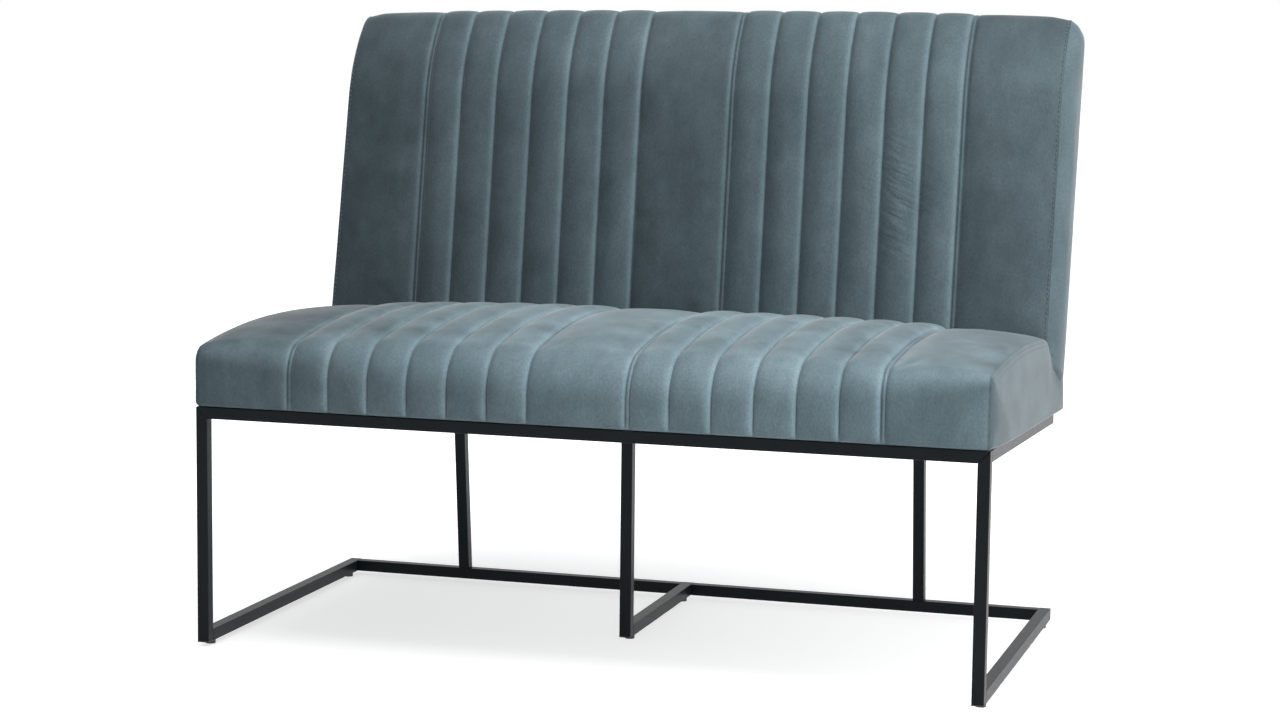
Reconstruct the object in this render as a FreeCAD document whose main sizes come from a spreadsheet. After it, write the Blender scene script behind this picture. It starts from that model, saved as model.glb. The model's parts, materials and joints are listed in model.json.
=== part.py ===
import FreeCAD, Part
import math
import os
from types import SimpleNamespace

import Sketcher

# Upholstered dining bench: a welded square-tube base, a seat box with a channelled cover and a
# leaning channelled back. X runs along the bench, Y from front to back, Z up from the floor.
# The origin is under the middle of the bench's box.

# Each driving size: its name, its value in millimetres or degrees, and what it measures.
SIZES = [
    ("width", 1200, "steel frame, end to end"),
    ("tube", 18, "side of the square tube"),
    ("tube_wall", 1.5, "tube wall"),
    ("rail_height", 366, "top of the front rail above the floor"),
    ("floor_depth", 603, "floor frame, front to back"),
    ("seat_frame_depth", 573, "seat rails, front to back"),
    ("seat_slope", 2.3, "fall of the seat rails to the rear, degrees"),
    ("middle_leg_offset", 0, "middle leg, right of the centre"),
    ("middle_leg_set", 247, "front face of the middle leg behind the front face of the frame"),
    ("post_offset", 389, "rear posts, each side of the centre"),
    ("glide_height", 6, "glide under the tube"),
    ("glide_diameter", 15, "glide"),
    ("glide_stem", 7, "glide stem diameter"),
    ("glide_inset", 27, "front glide behind the front face"),
    ("rear_glide_inset", 36, "rear glide ahead of the rear face"),
    ("cap_thickness", 2, "end cap and end plug flange"),
    ("plug_depth", 6, "end plug inside the tube"),
    ("plug_clearance", 0.3, "end plug to tube wall, each side"),
    ("tab_side", 30, "mounting tab"),
    ("tab_thickness", 3, "mounting tab"),
    ("bolt_diameter", 6, "all bolts"),
    ("bolt_head", 11, "bolt head diameter"),
    ("bolt_head_height", 4, "bolt head"),
    ("bolt_clearance", 0.4, "bolt hole over the bolt"),
    ("washer_diameter", 14, "washer"),
    ("washer_thickness", 1.2, "washer"),
    ("insert_diameter", 10, "threaded insert"),
    ("insert_depth", 13, "threaded insert"),
    ("dust_cover", 1, "dust cover thickness"),
    ("beam_width", 40, "seat beam"),
    ("beam_height", 45, "seat beam"),
    ("cross_beam_width", 30, "seat cross beam"),
    ("cross_beam_offset", 200, "seat cross beams, each side of the centre"),
    ("corner_block", 60, "corner block leg"),
    ("strap_width", 50, "webbing strap"),
    ("strap_thickness", 2, "webbing strap"),
    ("strap_pitch", 110, "webbing straps across the seat"),
    ("long_strap_pitch", 130, "webbing straps along the seat"),
    ("channel_width", 62, "one sewn channel"),
    ("channel_puff", 8, "swell of a channel above its seams"),
    ("plain_puff", 5, "swell of a plain panel above its seams"),
    ("cover_thickness", 12, "quilted cover at the ends of the bench"),
    ("soft_gap", 0.5, "between soft pieces"),
    ("seat_height", 133, "seams at the top of the seat above the front rail, middle of the bench"),
    ("seat_crown", 21, "fall of the seat top to its ends"),
    ("seat_crest", 295, "highest line of the seat behind the front face, middle of the bench"),
    ("seat_crest_end", 240, "highest line of the seat behind the front face, at its ends"),
    ("seat_crest_radius", 1200, "front-to-back crown"),
    ("edge_radius", 66, "front edge of the seat, middle of the bench"),
    ("edge_radius_end", 24, "front edge of the seat, at its ends"),
    ("seat_depth", 490, "seat top, front to back"),
    ("seat_rear", 115, "rear of the seat behind the end of its top"),
    ("shoulder_angle", 24, "fall of the seat under the back, degrees"),
    ("shoulder_radius", 35, "rear upper edge of the seat"),
    ("band_thickness", 6, "rear band of the seat"),
    ("boxing_thickness", 10, "side boxing inside the frame's width"),
    ("seat_boxing_bulge", 9, "seat boxing past the frame"),
    ("back_boxing_bulge", 14, "back boxing past the frame"),
    ("boxing_round", 14, "edge of a side boxing"),
    ("back_lean", 13.2, "back from upright, degrees"),
    ("back_length", 520.5, "back along its lean, middle of the bench"),
    ("back_crown", 4.5, "fall of the back's top to its ends"),
    ("back_set", 10, "ends of the back behind its middle"),
    ("back_thickness", 110, "back, front to rear"),
    ("back_front_radius", 30, "front upper edge of the back"),
    ("back_bow", 33, "fullest line of the back's front ahead of its foot, across the lean, in the middle"),
    ("back_bow_end", 8, "fullest line of the back's front ahead of its foot, at its ends"),
    ("back_bow_drop", 154, "fullest line of the back's front below its top"),
    ("back_bow_radius", 250, "front of the back above its fullest line"),
    ("back_rear_radius", 22, "rear upper edge of the back"),
    ("back_hem", 45, "top cover's hem below the top, on the rear"),
    ("back_foam", 38, "back foam"),
    ("back_board", 3, "back board"),
    ("stile_width", 45, "back stiles and rails"),
    ("stile_depth", 32, "back stiles and rails"),
    ("middle_stile_offset", 200, "middle stiles, each side of the centre"),
    ("bottom_rail_height", 110, "bottom rail of the back"),
    ("outside_back", 5, "outside back panel"),
    ("bracket_width", 40, "back bracket"),
    ("bracket_thickness", 4, "back bracket"),
    ("bracket_offset", 389, "outer brackets, each side of the centre"),
    ("bracket_rise", 95, "bracket on the back"),
    ("bracket_drop", 64, "bracket on the seat"),
    ("bracket_bend", 16, "bend of the bracket below the back's foot"),
    ("bracket_slot", 4, "slot in the rear band around a bracket"),
    ("bracket_bolt_depth", 24, "bracket bolt in the wood"),
    ("bracket_bolt_edge", 18, "bracket bolt from the bracket's end"),
]
CHANNELS = 6  # in each of the two channelled groups
CROWN_POWER = 3  # the crown is flat in the middle and falls towards the ends

doc = FreeCAD.newDocument("DiningBench")
sheet = doc.addObject("Spreadsheet::Sheet", "Sizes")
for row, (alias, number, meaning) in enumerate(SIZES, 1):
    sheet.set(f"A{row}", meaning)
    sheet.set(f"B{row}", str(number))
    sheet.setAlias(f"B{row}", alias)
doc.recompute()
size = SimpleNamespace(**{alias: float(sheet.get(alias)) for alias, *_ in SIZES})
nodes = []

# Places that several pieces share, as expressions of the sizes.
HALF = "Sizes.width / 2"
COVER_END = f"({HALF} - Sizes.boxing_thickness)"
FLOOR_TOP = "(Sizes.glide_height + Sizes.tube)"
REAR_RAIL_TOP = "(Sizes.rail_height - (Sizes.seat_frame_depth - Sizes.tube) * tan(Sizes.seat_slope))"
SEAT_TOP = "(Sizes.rail_height + Sizes.seat_height)"
SEAT_END_Z = (f"({SEAT_TOP} - Sizes.seat_crown - Sizes.seat_crest_radius"
              " + sqrt(Sizes.seat_crest_radius ^ 2 - (Sizes.seat_depth - Sizes.seat_crest_end) ^ 2))")
BACK_Y = "(Sizes.seat_depth + Sizes.channel_puff + Sizes.soft_gap)"
BACK_Z = f"({SEAT_END_Z} + Sizes.soft_gap)"
BACK_CUT = "tan(Sizes.shoulder_angle - Sizes.back_lean)"
REAR_MOST = (f"({BACK_Y} + (Sizes.back_thickness - Sizes.back_rear_radius) * cos(Sizes.back_lean)"
             " + (Sizes.back_length - Sizes.back_rear_radius) * sin(Sizes.back_lean)"
             " + Sizes.back_rear_radius + Sizes.channel_puff)")
FRONT = f"((Sizes.channel_puff - {REAR_MOST}) / 2)"  # the frame's front face in the bench's own frame
BOARD_FRONT = "(Sizes.back_set + Sizes.cover_thickness + Sizes.back_foam)"
STILE_FRONT = f"({BOARD_FRONT} + Sizes.back_board)"
STILE_REAR = f"({STILE_FRONT} + Sizes.stile_depth)"
STILE_FOOT = f"(Sizes.soft_gap - {STILE_FRONT} * {BACK_CUT})"
STILE_TOP = "(Sizes.back_length - Sizes.back_crown - Sizes.back_rear_radius)"


def seat_y(along, up):
    """Distance behind the front face of a point given along and above the sloping seat rails."""
    return f"(Sizes.tube + ({along}) * cos(Sizes.seat_slope) + ({up}) * sin(Sizes.seat_slope))"


def seat_z(along, up):
    return f"(Sizes.rail_height - ({along}) * sin(Sizes.seat_slope) + ({up}) * cos(Sizes.seat_slope))"


def back_y(deep, up):
    """Distance behind the front face of a point given behind the back's front and along its lean."""
    return f"({BACK_Y} + ({deep}) * cos(Sizes.back_lean) + ({up}) * sin(Sizes.back_lean))"


def back_z(deep, up):
    return f"({BACK_Z} - ({deep}) * sin(Sizes.back_lean) + ({up}) * cos(Sizes.back_lean))"


SEAT = ("seat_slope", seat_y, seat_z)
BACK = ("back_lean", back_y, back_z)
BEND_Y = back_y(STILE_REAR, "-Sizes.bracket_bend")
BEND_Z = back_z(STILE_REAR, "-Sizes.bracket_bend")
BEAM_REAR = (f"(({BEND_Y} - Sizes.tube) * cos(Sizes.seat_slope)"
             f" - ({BEND_Z} - Sizes.rail_height) * sin(Sizes.seat_slope))")
BEND_UP = (f"(({BEND_Y} - Sizes.tube) * sin(Sizes.seat_slope)"
           f" + ({BEND_Z} - Sizes.rail_height) * cos(Sizes.seat_slope))")
BEAM_FRONT = "(Sizes.cover_thickness + Sizes.soft_gap - Sizes.tube)"
BEAM_TOP = "(Sizes.dust_cover + Sizes.beam_height)"
INSIDE_FRONT = f"({BEAM_FRONT} + Sizes.beam_width)"  # between the front and rear beams
INSIDE_REAR = f"({BEAM_REAR} - Sizes.beam_width)"


def value(expression):
    """The number that an expression of the sizes gives."""
    return float(sheet.evalExpression(expression))


def place(piece, x="0", y="0", z="0"):
    """Puts a piece at a place measured from the frame's front face."""
    piece.setExpression("Placement.Base.x", x)
    piece.setExpression("Placement.Base.y", f"{FRONT} + {y}")
    piece.setExpression("Placement.Base.z", z)


def stand(piece, frame, x, along, up, turn=0):
    """Puts a piece at a place on the sloping seat or the leaning back, turned with it."""
    slope, to_y, to_z = frame
    angle = f"{turn} + Sizes.{slope}"
    rotation = FreeCAD.Rotation(FreeCAD.Vector(-1, 0, 0), value(angle))
    piece.Placement = FreeCAD.Placement(FreeCAD.Vector(), rotation)
    piece.setExpression("Placement.Rotation.Angle", angle)
    place(piece, x, to_y(along, up), to_z(along, up))


def keep(piece, label):
    piece.Label = label
    nodes.append(piece)
    return piece


def group(label, pieces):
    """Separate pieces of one kind that share a node."""
    compound = doc.addObject("Part::Compound", label)
    compound.Links = pieces
    return keep(compound, label)


def sketch_on(body, role, name):
    sketch = body.newObject("Sketcher::SketchObject", name)
    plane = next(item for item in body.Origin.OriginFeatures if item.Role == role)
    sketch.AttachmentSupport = [(plane, "")]
    sketch.MapMode = "FlatFace"
    return sketch


def fix_point(sketch, geometry, end, point):
    for kind, expression in zip(("DistanceX", "DistanceY"), point):
        constraint = Sketcher.Constraint(kind, -1, 1, geometry, end, value(expression))
        sketch.setExpression(f"Constraints[{sketch.addConstraint(constraint)}]", expression)


def draw_outline(sketch, points):
    """A closed outline of straight lines, with each corner bound to the sizes."""
    corners = [FreeCAD.Vector(value(x), value(y), 0) for x, y in points]
    following = corners[1:] + corners[:1]
    lines = [sketch.addGeometry(Part.LineSegment(a, b)) for a, b in zip(corners, following)]
    for line, after in zip(lines, lines[1:] + lines[:1]):
        sketch.addConstraint(Sketcher.Constraint("Coincident", line, 2, after, 1))
    for line, point in zip(lines, points):
        fix_point(sketch, line, 1, point)


def draw_circle(sketch, point, diameter):
    centre = FreeCAD.Vector(value(point[0]), value(point[1]), 0)
    radius = value(diameter) / 2
    circle = sketch.addGeometry(Part.Circle(centre, FreeCAD.Vector(0, 0, 1), radius))
    constraint = sketch.addConstraint(Sketcher.Constraint("Diameter", circle, value(diameter)))
    sketch.setExpression(f"Constraints[{constraint}]", diameter)
    fix_point(sketch, circle, 3, point)


def extrude(body, kind, role, outline, length):
    """A pad or pocket to both sides of an origin plane."""
    sketch = sketch_on(body, role, f"{body.Name}_{kind}_sketch")
    draw_outline(sketch, outline)
    feature = body.newObject(f"PartDesign::{kind}", f"{body.Name}_{kind}")
    feature.Profile = sketch
    feature.Midplane = True
    feature.setExpression("Length", length)


def drill(body, role, circles, length):
    sketch = sketch_on(body, role, f"{body.Name}_holes_sketch")
    for point, diameter in circles:
        draw_circle(sketch, point, diameter)
    feature = body.newObject("PartDesign::Pocket", f"{body.Name}_holes")
    feature.Profile = sketch
    feature.Midplane = True
    feature.setExpression("Length", length)


def rectangle(low_x, high_x, low_y, high_y):
    return [(low_x, low_y), (high_x, low_y), (high_x, high_y), (low_x, high_y)]


def tube(label, role, outside, bore, x="0", y="0"):
    """A hollow square tube from its side outline and the outline of its bore."""
    body = doc.addObject("PartDesign::Body", label)
    extrude(body, "Pad", role, outside, "Sizes.tube")
    extrude(body, "Pocket", role, bore, "Sizes.tube - 2 * Sizes.tube_wall")
    place(body, x, y)
    return keep(body, label)


def straight_tube(label, role, low, high, bottom, x="0", y="0"):
    top = f"({bottom} + Sizes.tube)"
    bore = rectangle(low, high, f"{bottom} + Sizes.tube_wall", f"{top} - Sizes.tube_wall")
    return tube(label, role, rectangle(low, high, bottom, top), bore, x, y)


def block(name, frame, corner, dimensions):
    """A rectangular piece of wood or board on the seat or the back."""
    box = doc.addObject("Part::Box", name)
    for side, expression in zip(("Length", "Width", "Height"), dimensions):
        box.setExpression(side, expression)
    stand(box, frame, *corner)
    return box


def rod(name, diameter, length):
    cylinder = doc.addObject("Part::Cylinder", name)
    cylinder.setExpression("Radius", f"({diameter}) / 2")
    cylinder.setExpression("Height", length)
    return cylinder


def drilled(name, base, tools):
    """A piece with round holes, each cut by a rod in its place."""
    cut = doc.addObject("Part::Cut", name)
    cut.Base = base
    if len(tools) == 1:
        cut.Tool = tools[0]
        return cut
    joined = doc.addObject("Part::Compound", f"{name}_holes")
    joined.Links = tools
    cut.Tool = joined
    return cut


def sloping_strip(near, far, high, low):
    """Outline between two depths, square to the rails, below the tops of the sloping seat rails."""
    corners = [(near, low), (far, low), (far, high), (near, high)]
    return [(y, f"Sizes.rail_height - ({y} - Sizes.tube) * tan(Sizes.seat_slope)"
                f" - {depth} / cos(Sizes.seat_slope)") for y, depth in corners]


def build_base():
    """Front frame, runners, rear floor rails, posts and seat rails."""
    top, wall, side = "Sizes.rail_height", "Sizes.tube_wall", "Sizes.tube"
    leg_foot = "(Sizes.glide_height + Sizes.cap_thickness)"
    front_middle = "Sizes.tube / 2"
    rail = [(f"-{HALF}", top), (HALF, top), (f"{HALF} - {side}", f"{top} - {side}"),
            (f"{side} - {HALF}", f"{top} - {side}")]
    rail_bore = [(f"{wall} - {HALF}", f"{top} - {wall}"), (f"{HALF} - {wall}", f"{top} - {wall}"),
                 (f"{HALF} - {side} + {wall}", f"{top} - {side} + {wall}"),
                 (f"{side} - {wall} - {HALF}", f"{top} - {side} + {wall}")]
    tube("front_rail", "XZ_Plane", rail, rail_bore, y=front_middle)
    for name, sign in (("left", "-1"), ("right", "1")):
        outer, inner = f"{sign} * ({HALF})", f"{sign} * ({HALF} - {side})"
        bore_out, bore_in = f"{sign} * ({HALF} - {wall})", f"{sign} * ({HALF} - {side} + {wall})"
        leg = [(outer, leg_foot), (outer, top), (inner, f"{top} - {side}"), (inner, leg_foot)]
        bore = [(bore_out, leg_foot), (bore_out, f"{top} - {wall}"),
                (bore_in, f"{top} - {side} + {wall}"), (bore_in, leg_foot)]
        tube(f"{name}_front_leg", "XZ_Plane", leg, bore, y=front_middle)

    middle, leg_set = "Sizes.middle_leg_offset", "Sizes.middle_leg_set"
    outer_line = f"({HALF} - {side} / 2)"
    lines = (("left", f"-{outer_line}", "0"), ("middle", middle, leg_set), ("right", outer_line, "0"))
    runner_end = "(Sizes.floor_depth - Sizes.cap_thickness)"
    rear_glide = "(Sizes.floor_depth - Sizes.rear_glide_inset)"
    caps, plugs, glides = [], [], []
    for name, x, leg in lines:
        front_glide = f"({leg} + Sizes.glide_inset)"
        runner = straight_tube(f"{name}_floor_runner", "YZ_Plane", f"{leg} + {side}", runner_end,
                               "Sizes.glide_height", x)
        holes = [(("0", y), "Sizes.glide_stem") for y in (front_glide, rear_glide)]
        drill(runner, "XY_Plane", holes, f"2 * Sizes.glide_height + {side}")
        caps.append(end_plug(f"{name}_leg_cap", "XY_Plane", x, f"{leg} + {front_middle}", leg_foot))
        plugs.append(end_plug(f"{name}_runner_plug", "XZ_Plane", x, runner_end,
                              f"Sizes.glide_height + {side} / 2"))
        for end, y in (("front", front_glide), ("rear", rear_glide)):
            glides.append(glide(f"{name}_{end}_glide", x, y))

    rear_line = f"Sizes.floor_depth - {side} / 2"
    left_end, right_end = f"{side} - {HALF}", f"{HALF} - {side}"
    for name, low, high in (("left", left_end, f"{middle} - {side} / 2"),
                            ("right", f"{middle} + {side} / 2", right_end)):
        straight_tube(f"{name}_rear_floor_rail", "XZ_Plane", low, high, "Sizes.glide_height", y=rear_line)
    straight_tube("rear_seat_rail", "XZ_Plane", left_end, right_end, f"{REAR_RAIL_TOP} - {side}",
                  y=f"Sizes.seat_frame_depth - {side} / 2")

    slope = "tan(Sizes.seat_slope)"
    upright = "cos(Sizes.seat_slope)"
    rail_end = "(Sizes.seat_frame_depth - Sizes.cap_thickness)"
    low_end = f"({top} - ({rail_end} - {side}) * {slope})"
    rail_side = sloping_strip(side, rail_end, "0", side)
    rail_hole = sloping_strip(side, rail_end, wall, f"({side} - {wall})")
    post_top = f"({REAR_RAIL_TOP} - {side})"
    foot_y, head_y = "Sizes.floor_depth", "Sizes.seat_frame_depth"
    post = [(f"{foot_y} - {side}", FLOOR_TOP), (foot_y, FLOOR_TOP), (head_y, post_top),
            (f"{head_y} - {side}", post_top)]
    post_bore = [(f"{foot_y} - {side} + {wall}", FLOOR_TOP), (f"{foot_y} - {wall}", FLOOR_TOP),
                 (f"{head_y} - {wall}", post_top), (f"{head_y} - {side} + {wall}", post_top)]
    for name, sign in (("left", "-1"), ("right", "1")):
        tube(f"{name}_side_rail", "YZ_Plane", rail_side, rail_hole, f"{sign} * {outer_line}")
        plugs.append(end_plug(f"{name}_rail_plug", "XZ_Plane", f"{sign} * {outer_line}", rail_end,
                              f"{low_end} - {side} / {upright} / 2 - Sizes.cap_thickness * {slope}"))
        tube(f"{name}_rear_post", "YZ_Plane", post, post_bore, f"{sign} * Sizes.post_offset")
    rail_rear = f"(Sizes.seat_frame_depth - {side})"
    tube("middle_seat_rail", "YZ_Plane", sloping_strip(side, rail_rear, "0", side),
         sloping_strip(side, rail_rear, wall, f"({side} - {wall})"), middle)
    near, far = leg_set, f"({leg_set} + {side})"
    leg = [(near, leg_foot), (far, leg_foot), *sloping_strip(near, far, "0", side)[1::-1]]
    near, far = f"({near} + {wall})", f"({far} - {wall})"
    bore = [(near, leg_foot), (far, leg_foot), *sloping_strip(near, far, "0", side)[1::-1]]
    tube("middle_leg", "YZ_Plane", leg, bore, middle)
    group("leg_end_caps", caps)
    group("tube_end_plugs", plugs)
    group("floor_glides", glides)


def end_plug(name, role, x, y, z):
    """A square plug whose flange covers a tube's open end, below it or behind it."""
    body = doc.addObject("PartDesign::Body", name)
    inner = "Sizes.tube / 2 - Sizes.tube_wall - Sizes.plug_clearance"
    for feature, half, low, high in (("flange", "Sizes.tube / 2", "-Sizes.cap_thickness", "0"),
                                     ("insert", inner, "0", "Sizes.plug_depth")):
        sketch = sketch_on(body, role, f"{name}_{feature}_sketch")
        draw_outline(sketch, rectangle(f"-({half})", half, f"-({half})", half))
        pad = body.newObject("PartDesign::Pad", f"{name}_{feature}")
        pad.Profile = sketch
        pad.Reversed = feature == "flange"
        pad.setExpression("Length", f"{high} - ({low})")
    place(body, x, y, z)
    return body


def glide(name, x, y):
    """A round glide whose stem is pressed into the runner's lower wall."""
    foot = rod(f"{name}_foot", "Sizes.glide_diameter", "Sizes.glide_height")
    stem = rod(f"{name}_stem", "Sizes.glide_stem", "Sizes.glide_height + Sizes.tube / 2")
    whole = doc.addObject("Part::Fuse", name)
    whole.Base, whole.Tool = foot, stem
    place(whole, x, y)
    return whole


def build_fixings():
    """Tabs inside the rails, with bolts, washers and threaded inserts into the seat beams."""
    rail_inside = f"({HALF} - Sizes.tube)"
    reach = "Sizes.tab_side / 2"
    spots = []
    for sign in ("-1", "1"):
        for share in ("0.16", "0.49", "0.82"):
            spots.append((f"{sign} * ({rail_inside} - {reach})",
                          f"({INSIDE_FRONT} + {share} * ({INSIDE_REAR} - {INSIDE_FRONT}))"))
    beside = f"(Sizes.tube / 2 + {reach})"  # from the middle seat rail
    for x in (f"-0.5 * {rail_inside}", f"(Sizes.middle_leg_offset - {beside})",
              f"(Sizes.middle_leg_offset + {beside})", f"0.5 * {rail_inside}"):
        spots.append((x, f"({reach} + Sizes.tab_thickness * tan(Sizes.seat_slope))"))
    tabs, bolts, washers, inserts, holes = [], [], [], [], []
    washer_low = "-(Sizes.tab_thickness + Sizes.washer_thickness)"
    shank = f"Sizes.dust_cover + Sizes.insert_depth - ({washer_low})"
    hole = "Sizes.bolt_diameter + Sizes.bolt_clearance"
    for index, (x, along) in enumerate(spots, 1):
        plate = block(f"tab_plate_{index}", SEAT,
                      (f"{x} - {reach}", f"{along} - {reach}", "-Sizes.tab_thickness"),
                      ("Sizes.tab_side", "Sizes.tab_side", "Sizes.tab_thickness"))
        tab_hole = rod(f"tab_hole_{index}", hole, "Sizes.tab_thickness")
        stand(tab_hole, SEAT, x, along, "-Sizes.tab_thickness")
        tabs.append(drilled(f"tab_{index}", plate, [tab_hole]))

        disc = rod(f"seat_washer_disc_{index}", "Sizes.washer_diameter", "Sizes.washer_thickness")
        stand(disc, SEAT, x, along, washer_low)
        disc_hole = rod(f"seat_washer_hole_{index}", hole, "Sizes.washer_thickness")
        stand(disc_hole, SEAT, x, along, washer_low)
        washers.append(drilled(f"seat_washer_{index}", disc, [disc_hole]))

        head = rod(f"seat_bolt_head_{index}", "Sizes.bolt_head", "Sizes.bolt_head_height")
        stand(head, SEAT, x, along, f"{washer_low} - Sizes.bolt_head_height")
        stem = rod(f"seat_bolt_stem_{index}", "Sizes.bolt_diameter", shank)
        stand(stem, SEAT, x, along, washer_low)
        bolt = doc.addObject("Part::Fuse", f"seat_bolt_{index}")
        bolt.Base, bolt.Tool = head, stem
        bolts.append(bolt)

        sleeve = rod(f"insert_sleeve_{index}", "Sizes.insert_diameter", "Sizes.insert_depth")
        stand(sleeve, SEAT, x, along, "Sizes.dust_cover")
        thread = rod(f"insert_thread_{index}", "Sizes.bolt_diameter", "Sizes.insert_depth")
        stand(thread, SEAT, x, along, "Sizes.dust_cover")
        inserts.append(drilled(f"insert_{index}", sleeve, [thread]))
        pocket = rod(f"beam_hole_{index}", "Sizes.insert_diameter", "Sizes.insert_depth")
        stand(pocket, SEAT, x, along, "Sizes.dust_cover")
        cover_hole = rod(f"dust_cover_hole_{index}", hole, "Sizes.dust_cover")
        stand(cover_hole, SEAT, x, along, "0")
        holes.append((pocket, cover_hole))
    group("mounting_tabs", tabs)
    group("seat_bolts", bolts)
    group("seat_washers", washers)
    group("threaded_inserts", inserts)
    return holes


def build_seat_frame(holes, bracket_holes):
    """Wooden seat frame, corner blocks, webbing and the dust cover under it."""
    pockets = [pocket for pocket, cover_hole in holes]
    span = f"(2 * {COVER_END})"
    inside = f"({INSIDE_REAR} - {INSIDE_FRONT})"
    height = "Sizes.beam_height"
    front = block("front_beam_blank", SEAT, (f"-{COVER_END}", BEAM_FRONT, "Sizes.dust_cover"),
                  (span, "Sizes.beam_width", height))
    keep(drilled("seat_front_beam", front, pockets[6:]), "seat_front_beam")
    rear = block("rear_beam_blank", SEAT, (f"-{COVER_END}", INSIDE_REAR, "Sizes.dust_cover"),
                 (span, "Sizes.beam_width", height))
    keep(drilled("seat_rear_beam", rear, bracket_holes), "seat_rear_beam")
    for name, x, tools in (("left", f"-{COVER_END}", pockets[:3]),
                           ("right", f"{COVER_END} - Sizes.beam_width", pockets[3:6])):
        beam = block(f"{name}_beam_blank", SEAT, (x, INSIDE_FRONT, "Sizes.dust_cover"),
                     ("Sizes.beam_width", inside, height))
        keep(drilled(f"seat_{name}_beam", beam, tools), f"seat_{name}_beam")
    cross = [block(f"cross_beam_{side}", SEAT,
                   (f"{sign} * Sizes.cross_beam_offset - Sizes.cross_beam_width / 2", INSIDE_FRONT,
                    "Sizes.dust_cover"),
                   ("Sizes.cross_beam_width", inside, f"{height} - 4 * Sizes.strap_thickness"))
             for side, sign in (("left", "-1"), ("right", "1"))]
    group("seat_cross_beams", cross)

    blocks = []
    inner_x = f"({COVER_END} - Sizes.beam_width)"
    for index, (sign, y, turn) in enumerate((("-1", INSIDE_FRONT, "1"), ("1", INSIDE_FRONT, "1"),
                                             ("-1", INSIDE_REAR, "-1"), ("1", INSIDE_REAR, "-1")), 1):
        corner = f"{sign} * {inner_x}"
        body = doc.addObject("PartDesign::Body", f"corner_block_{index}")
        triangle = [(corner, "0"), (f"{corner} - {sign} * Sizes.corner_block", "0"),
                    (corner, f"{turn} * Sizes.corner_block")]
        sketch = sketch_on(body, "XY_Plane", f"corner_block_sketch_{index}")
        draw_outline(sketch, triangle)
        pad = body.newObject("PartDesign::Pad", f"corner_block_pad_{index}")
        pad.Profile = sketch
        pad.setExpression("Length", f"{height} - 4 * Sizes.strap_thickness")
        stand(body, SEAT, "0", y, "Sizes.dust_cover")
        blocks.append(body)
    group("seat_corner_blocks", blocks)

    straps = []
    across = int(value(f"({COVER_END} - Sizes.strap_width) / Sizes.strap_pitch"))
    for step in range(-across, across + 1):
        straps.append(block(f"cross_strap_{step + across}", SEAT,
                            (f"{step} * Sizes.strap_pitch - Sizes.strap_width / 2", BEAM_FRONT, BEAM_TOP),
                            ("Sizes.strap_width", f"{BEAM_REAR} - {BEAM_FRONT}", "Sizes.strap_thickness")))
    near = f"({INSIDE_FRONT} + {INSIDE_REAR} - Sizes.strap_width) / 2"
    for step in (-1, 0, 1):
        straps.append(block(f"long_strap_{step + 1}", SEAT,
                            (f"-{COVER_END}", f"{near} + {step} * Sizes.long_strap_pitch",
                             f"{BEAM_TOP} + Sizes.strap_thickness"),
                            (span, "Sizes.strap_width", "Sizes.strap_thickness")))
    group("seat_webbing", straps)
    sheet_under = block("dust_cover_sheet", SEAT, (f"-{COVER_END}", BEAM_FRONT, "0"),
                        (span, f"{BEAM_REAR} - {BEAM_FRONT}", "Sizes.dust_cover"))
    keep(drilled("dust_cover", sheet_under, [cover_hole for pocket, cover_hole in holes]), "dust_cover")


def build_back_frame(bracket_holes):
    """Wooden back frame with its board and the panel that closes its rear."""
    deep, wide = "Sizes.stile_depth", "Sizes.stile_width"
    tall = f"({STILE_TOP} - {STILE_FOOT})"
    inner = f"({COVER_END} - {wide})"
    for name, x in (("left", f"-{COVER_END}"), ("right", inner)):
        keep(block(f"back_{name}_stile", BACK, (x, STILE_FRONT, STILE_FOOT), (wide, deep, tall)),
             f"back_{name}_stile")
    keep(block("back_top_rail", BACK, (f"-{inner}", STILE_FRONT, f"{STILE_TOP} - {wide}"),
               (f"2 * {inner}", deep, wide)), "back_top_rail")
    rail = block("bottom_rail_blank", BACK, (f"-{inner}", STILE_FRONT, STILE_FOOT),
                 (f"2 * {inner}", deep, "Sizes.bottom_rail_height"))
    keep(drilled("back_bottom_rail", rail, bracket_holes), "back_bottom_rail")
    low = f"({STILE_FOOT} + Sizes.bottom_rail_height)"
    stiles = [block(f"middle_stile_{side}", BACK,
                    (f"{sign} * Sizes.middle_stile_offset - {wide} / 2", STILE_FRONT, low),
                    (wide, deep, f"{STILE_TOP} - {wide} - {low}"))
              for side, sign in (("left", "-1"), ("right", "1"))]
    group("back_middle_stiles", stiles)
    keep(block("back_board", BACK, (f"-{COVER_END}", BOARD_FRONT, STILE_FOOT),
               (f"2 * {COVER_END}", "Sizes.back_board", tall)), "back_board")
    panel_front = "(Sizes.back_thickness - Sizes.outside_back)"
    panel_foot = f"(Sizes.soft_gap - {panel_front} * {BACK_CUT})"
    panel_tall = f"Sizes.back_length - Sizes.back_hem - {panel_foot}"
    keep(block("outside_back_panel", BACK, (f"-{COVER_END}", panel_front, panel_foot),
               (f"2 * {COVER_END}", "Sizes.outside_back", panel_tall)), "outside_back_panel")


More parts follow.
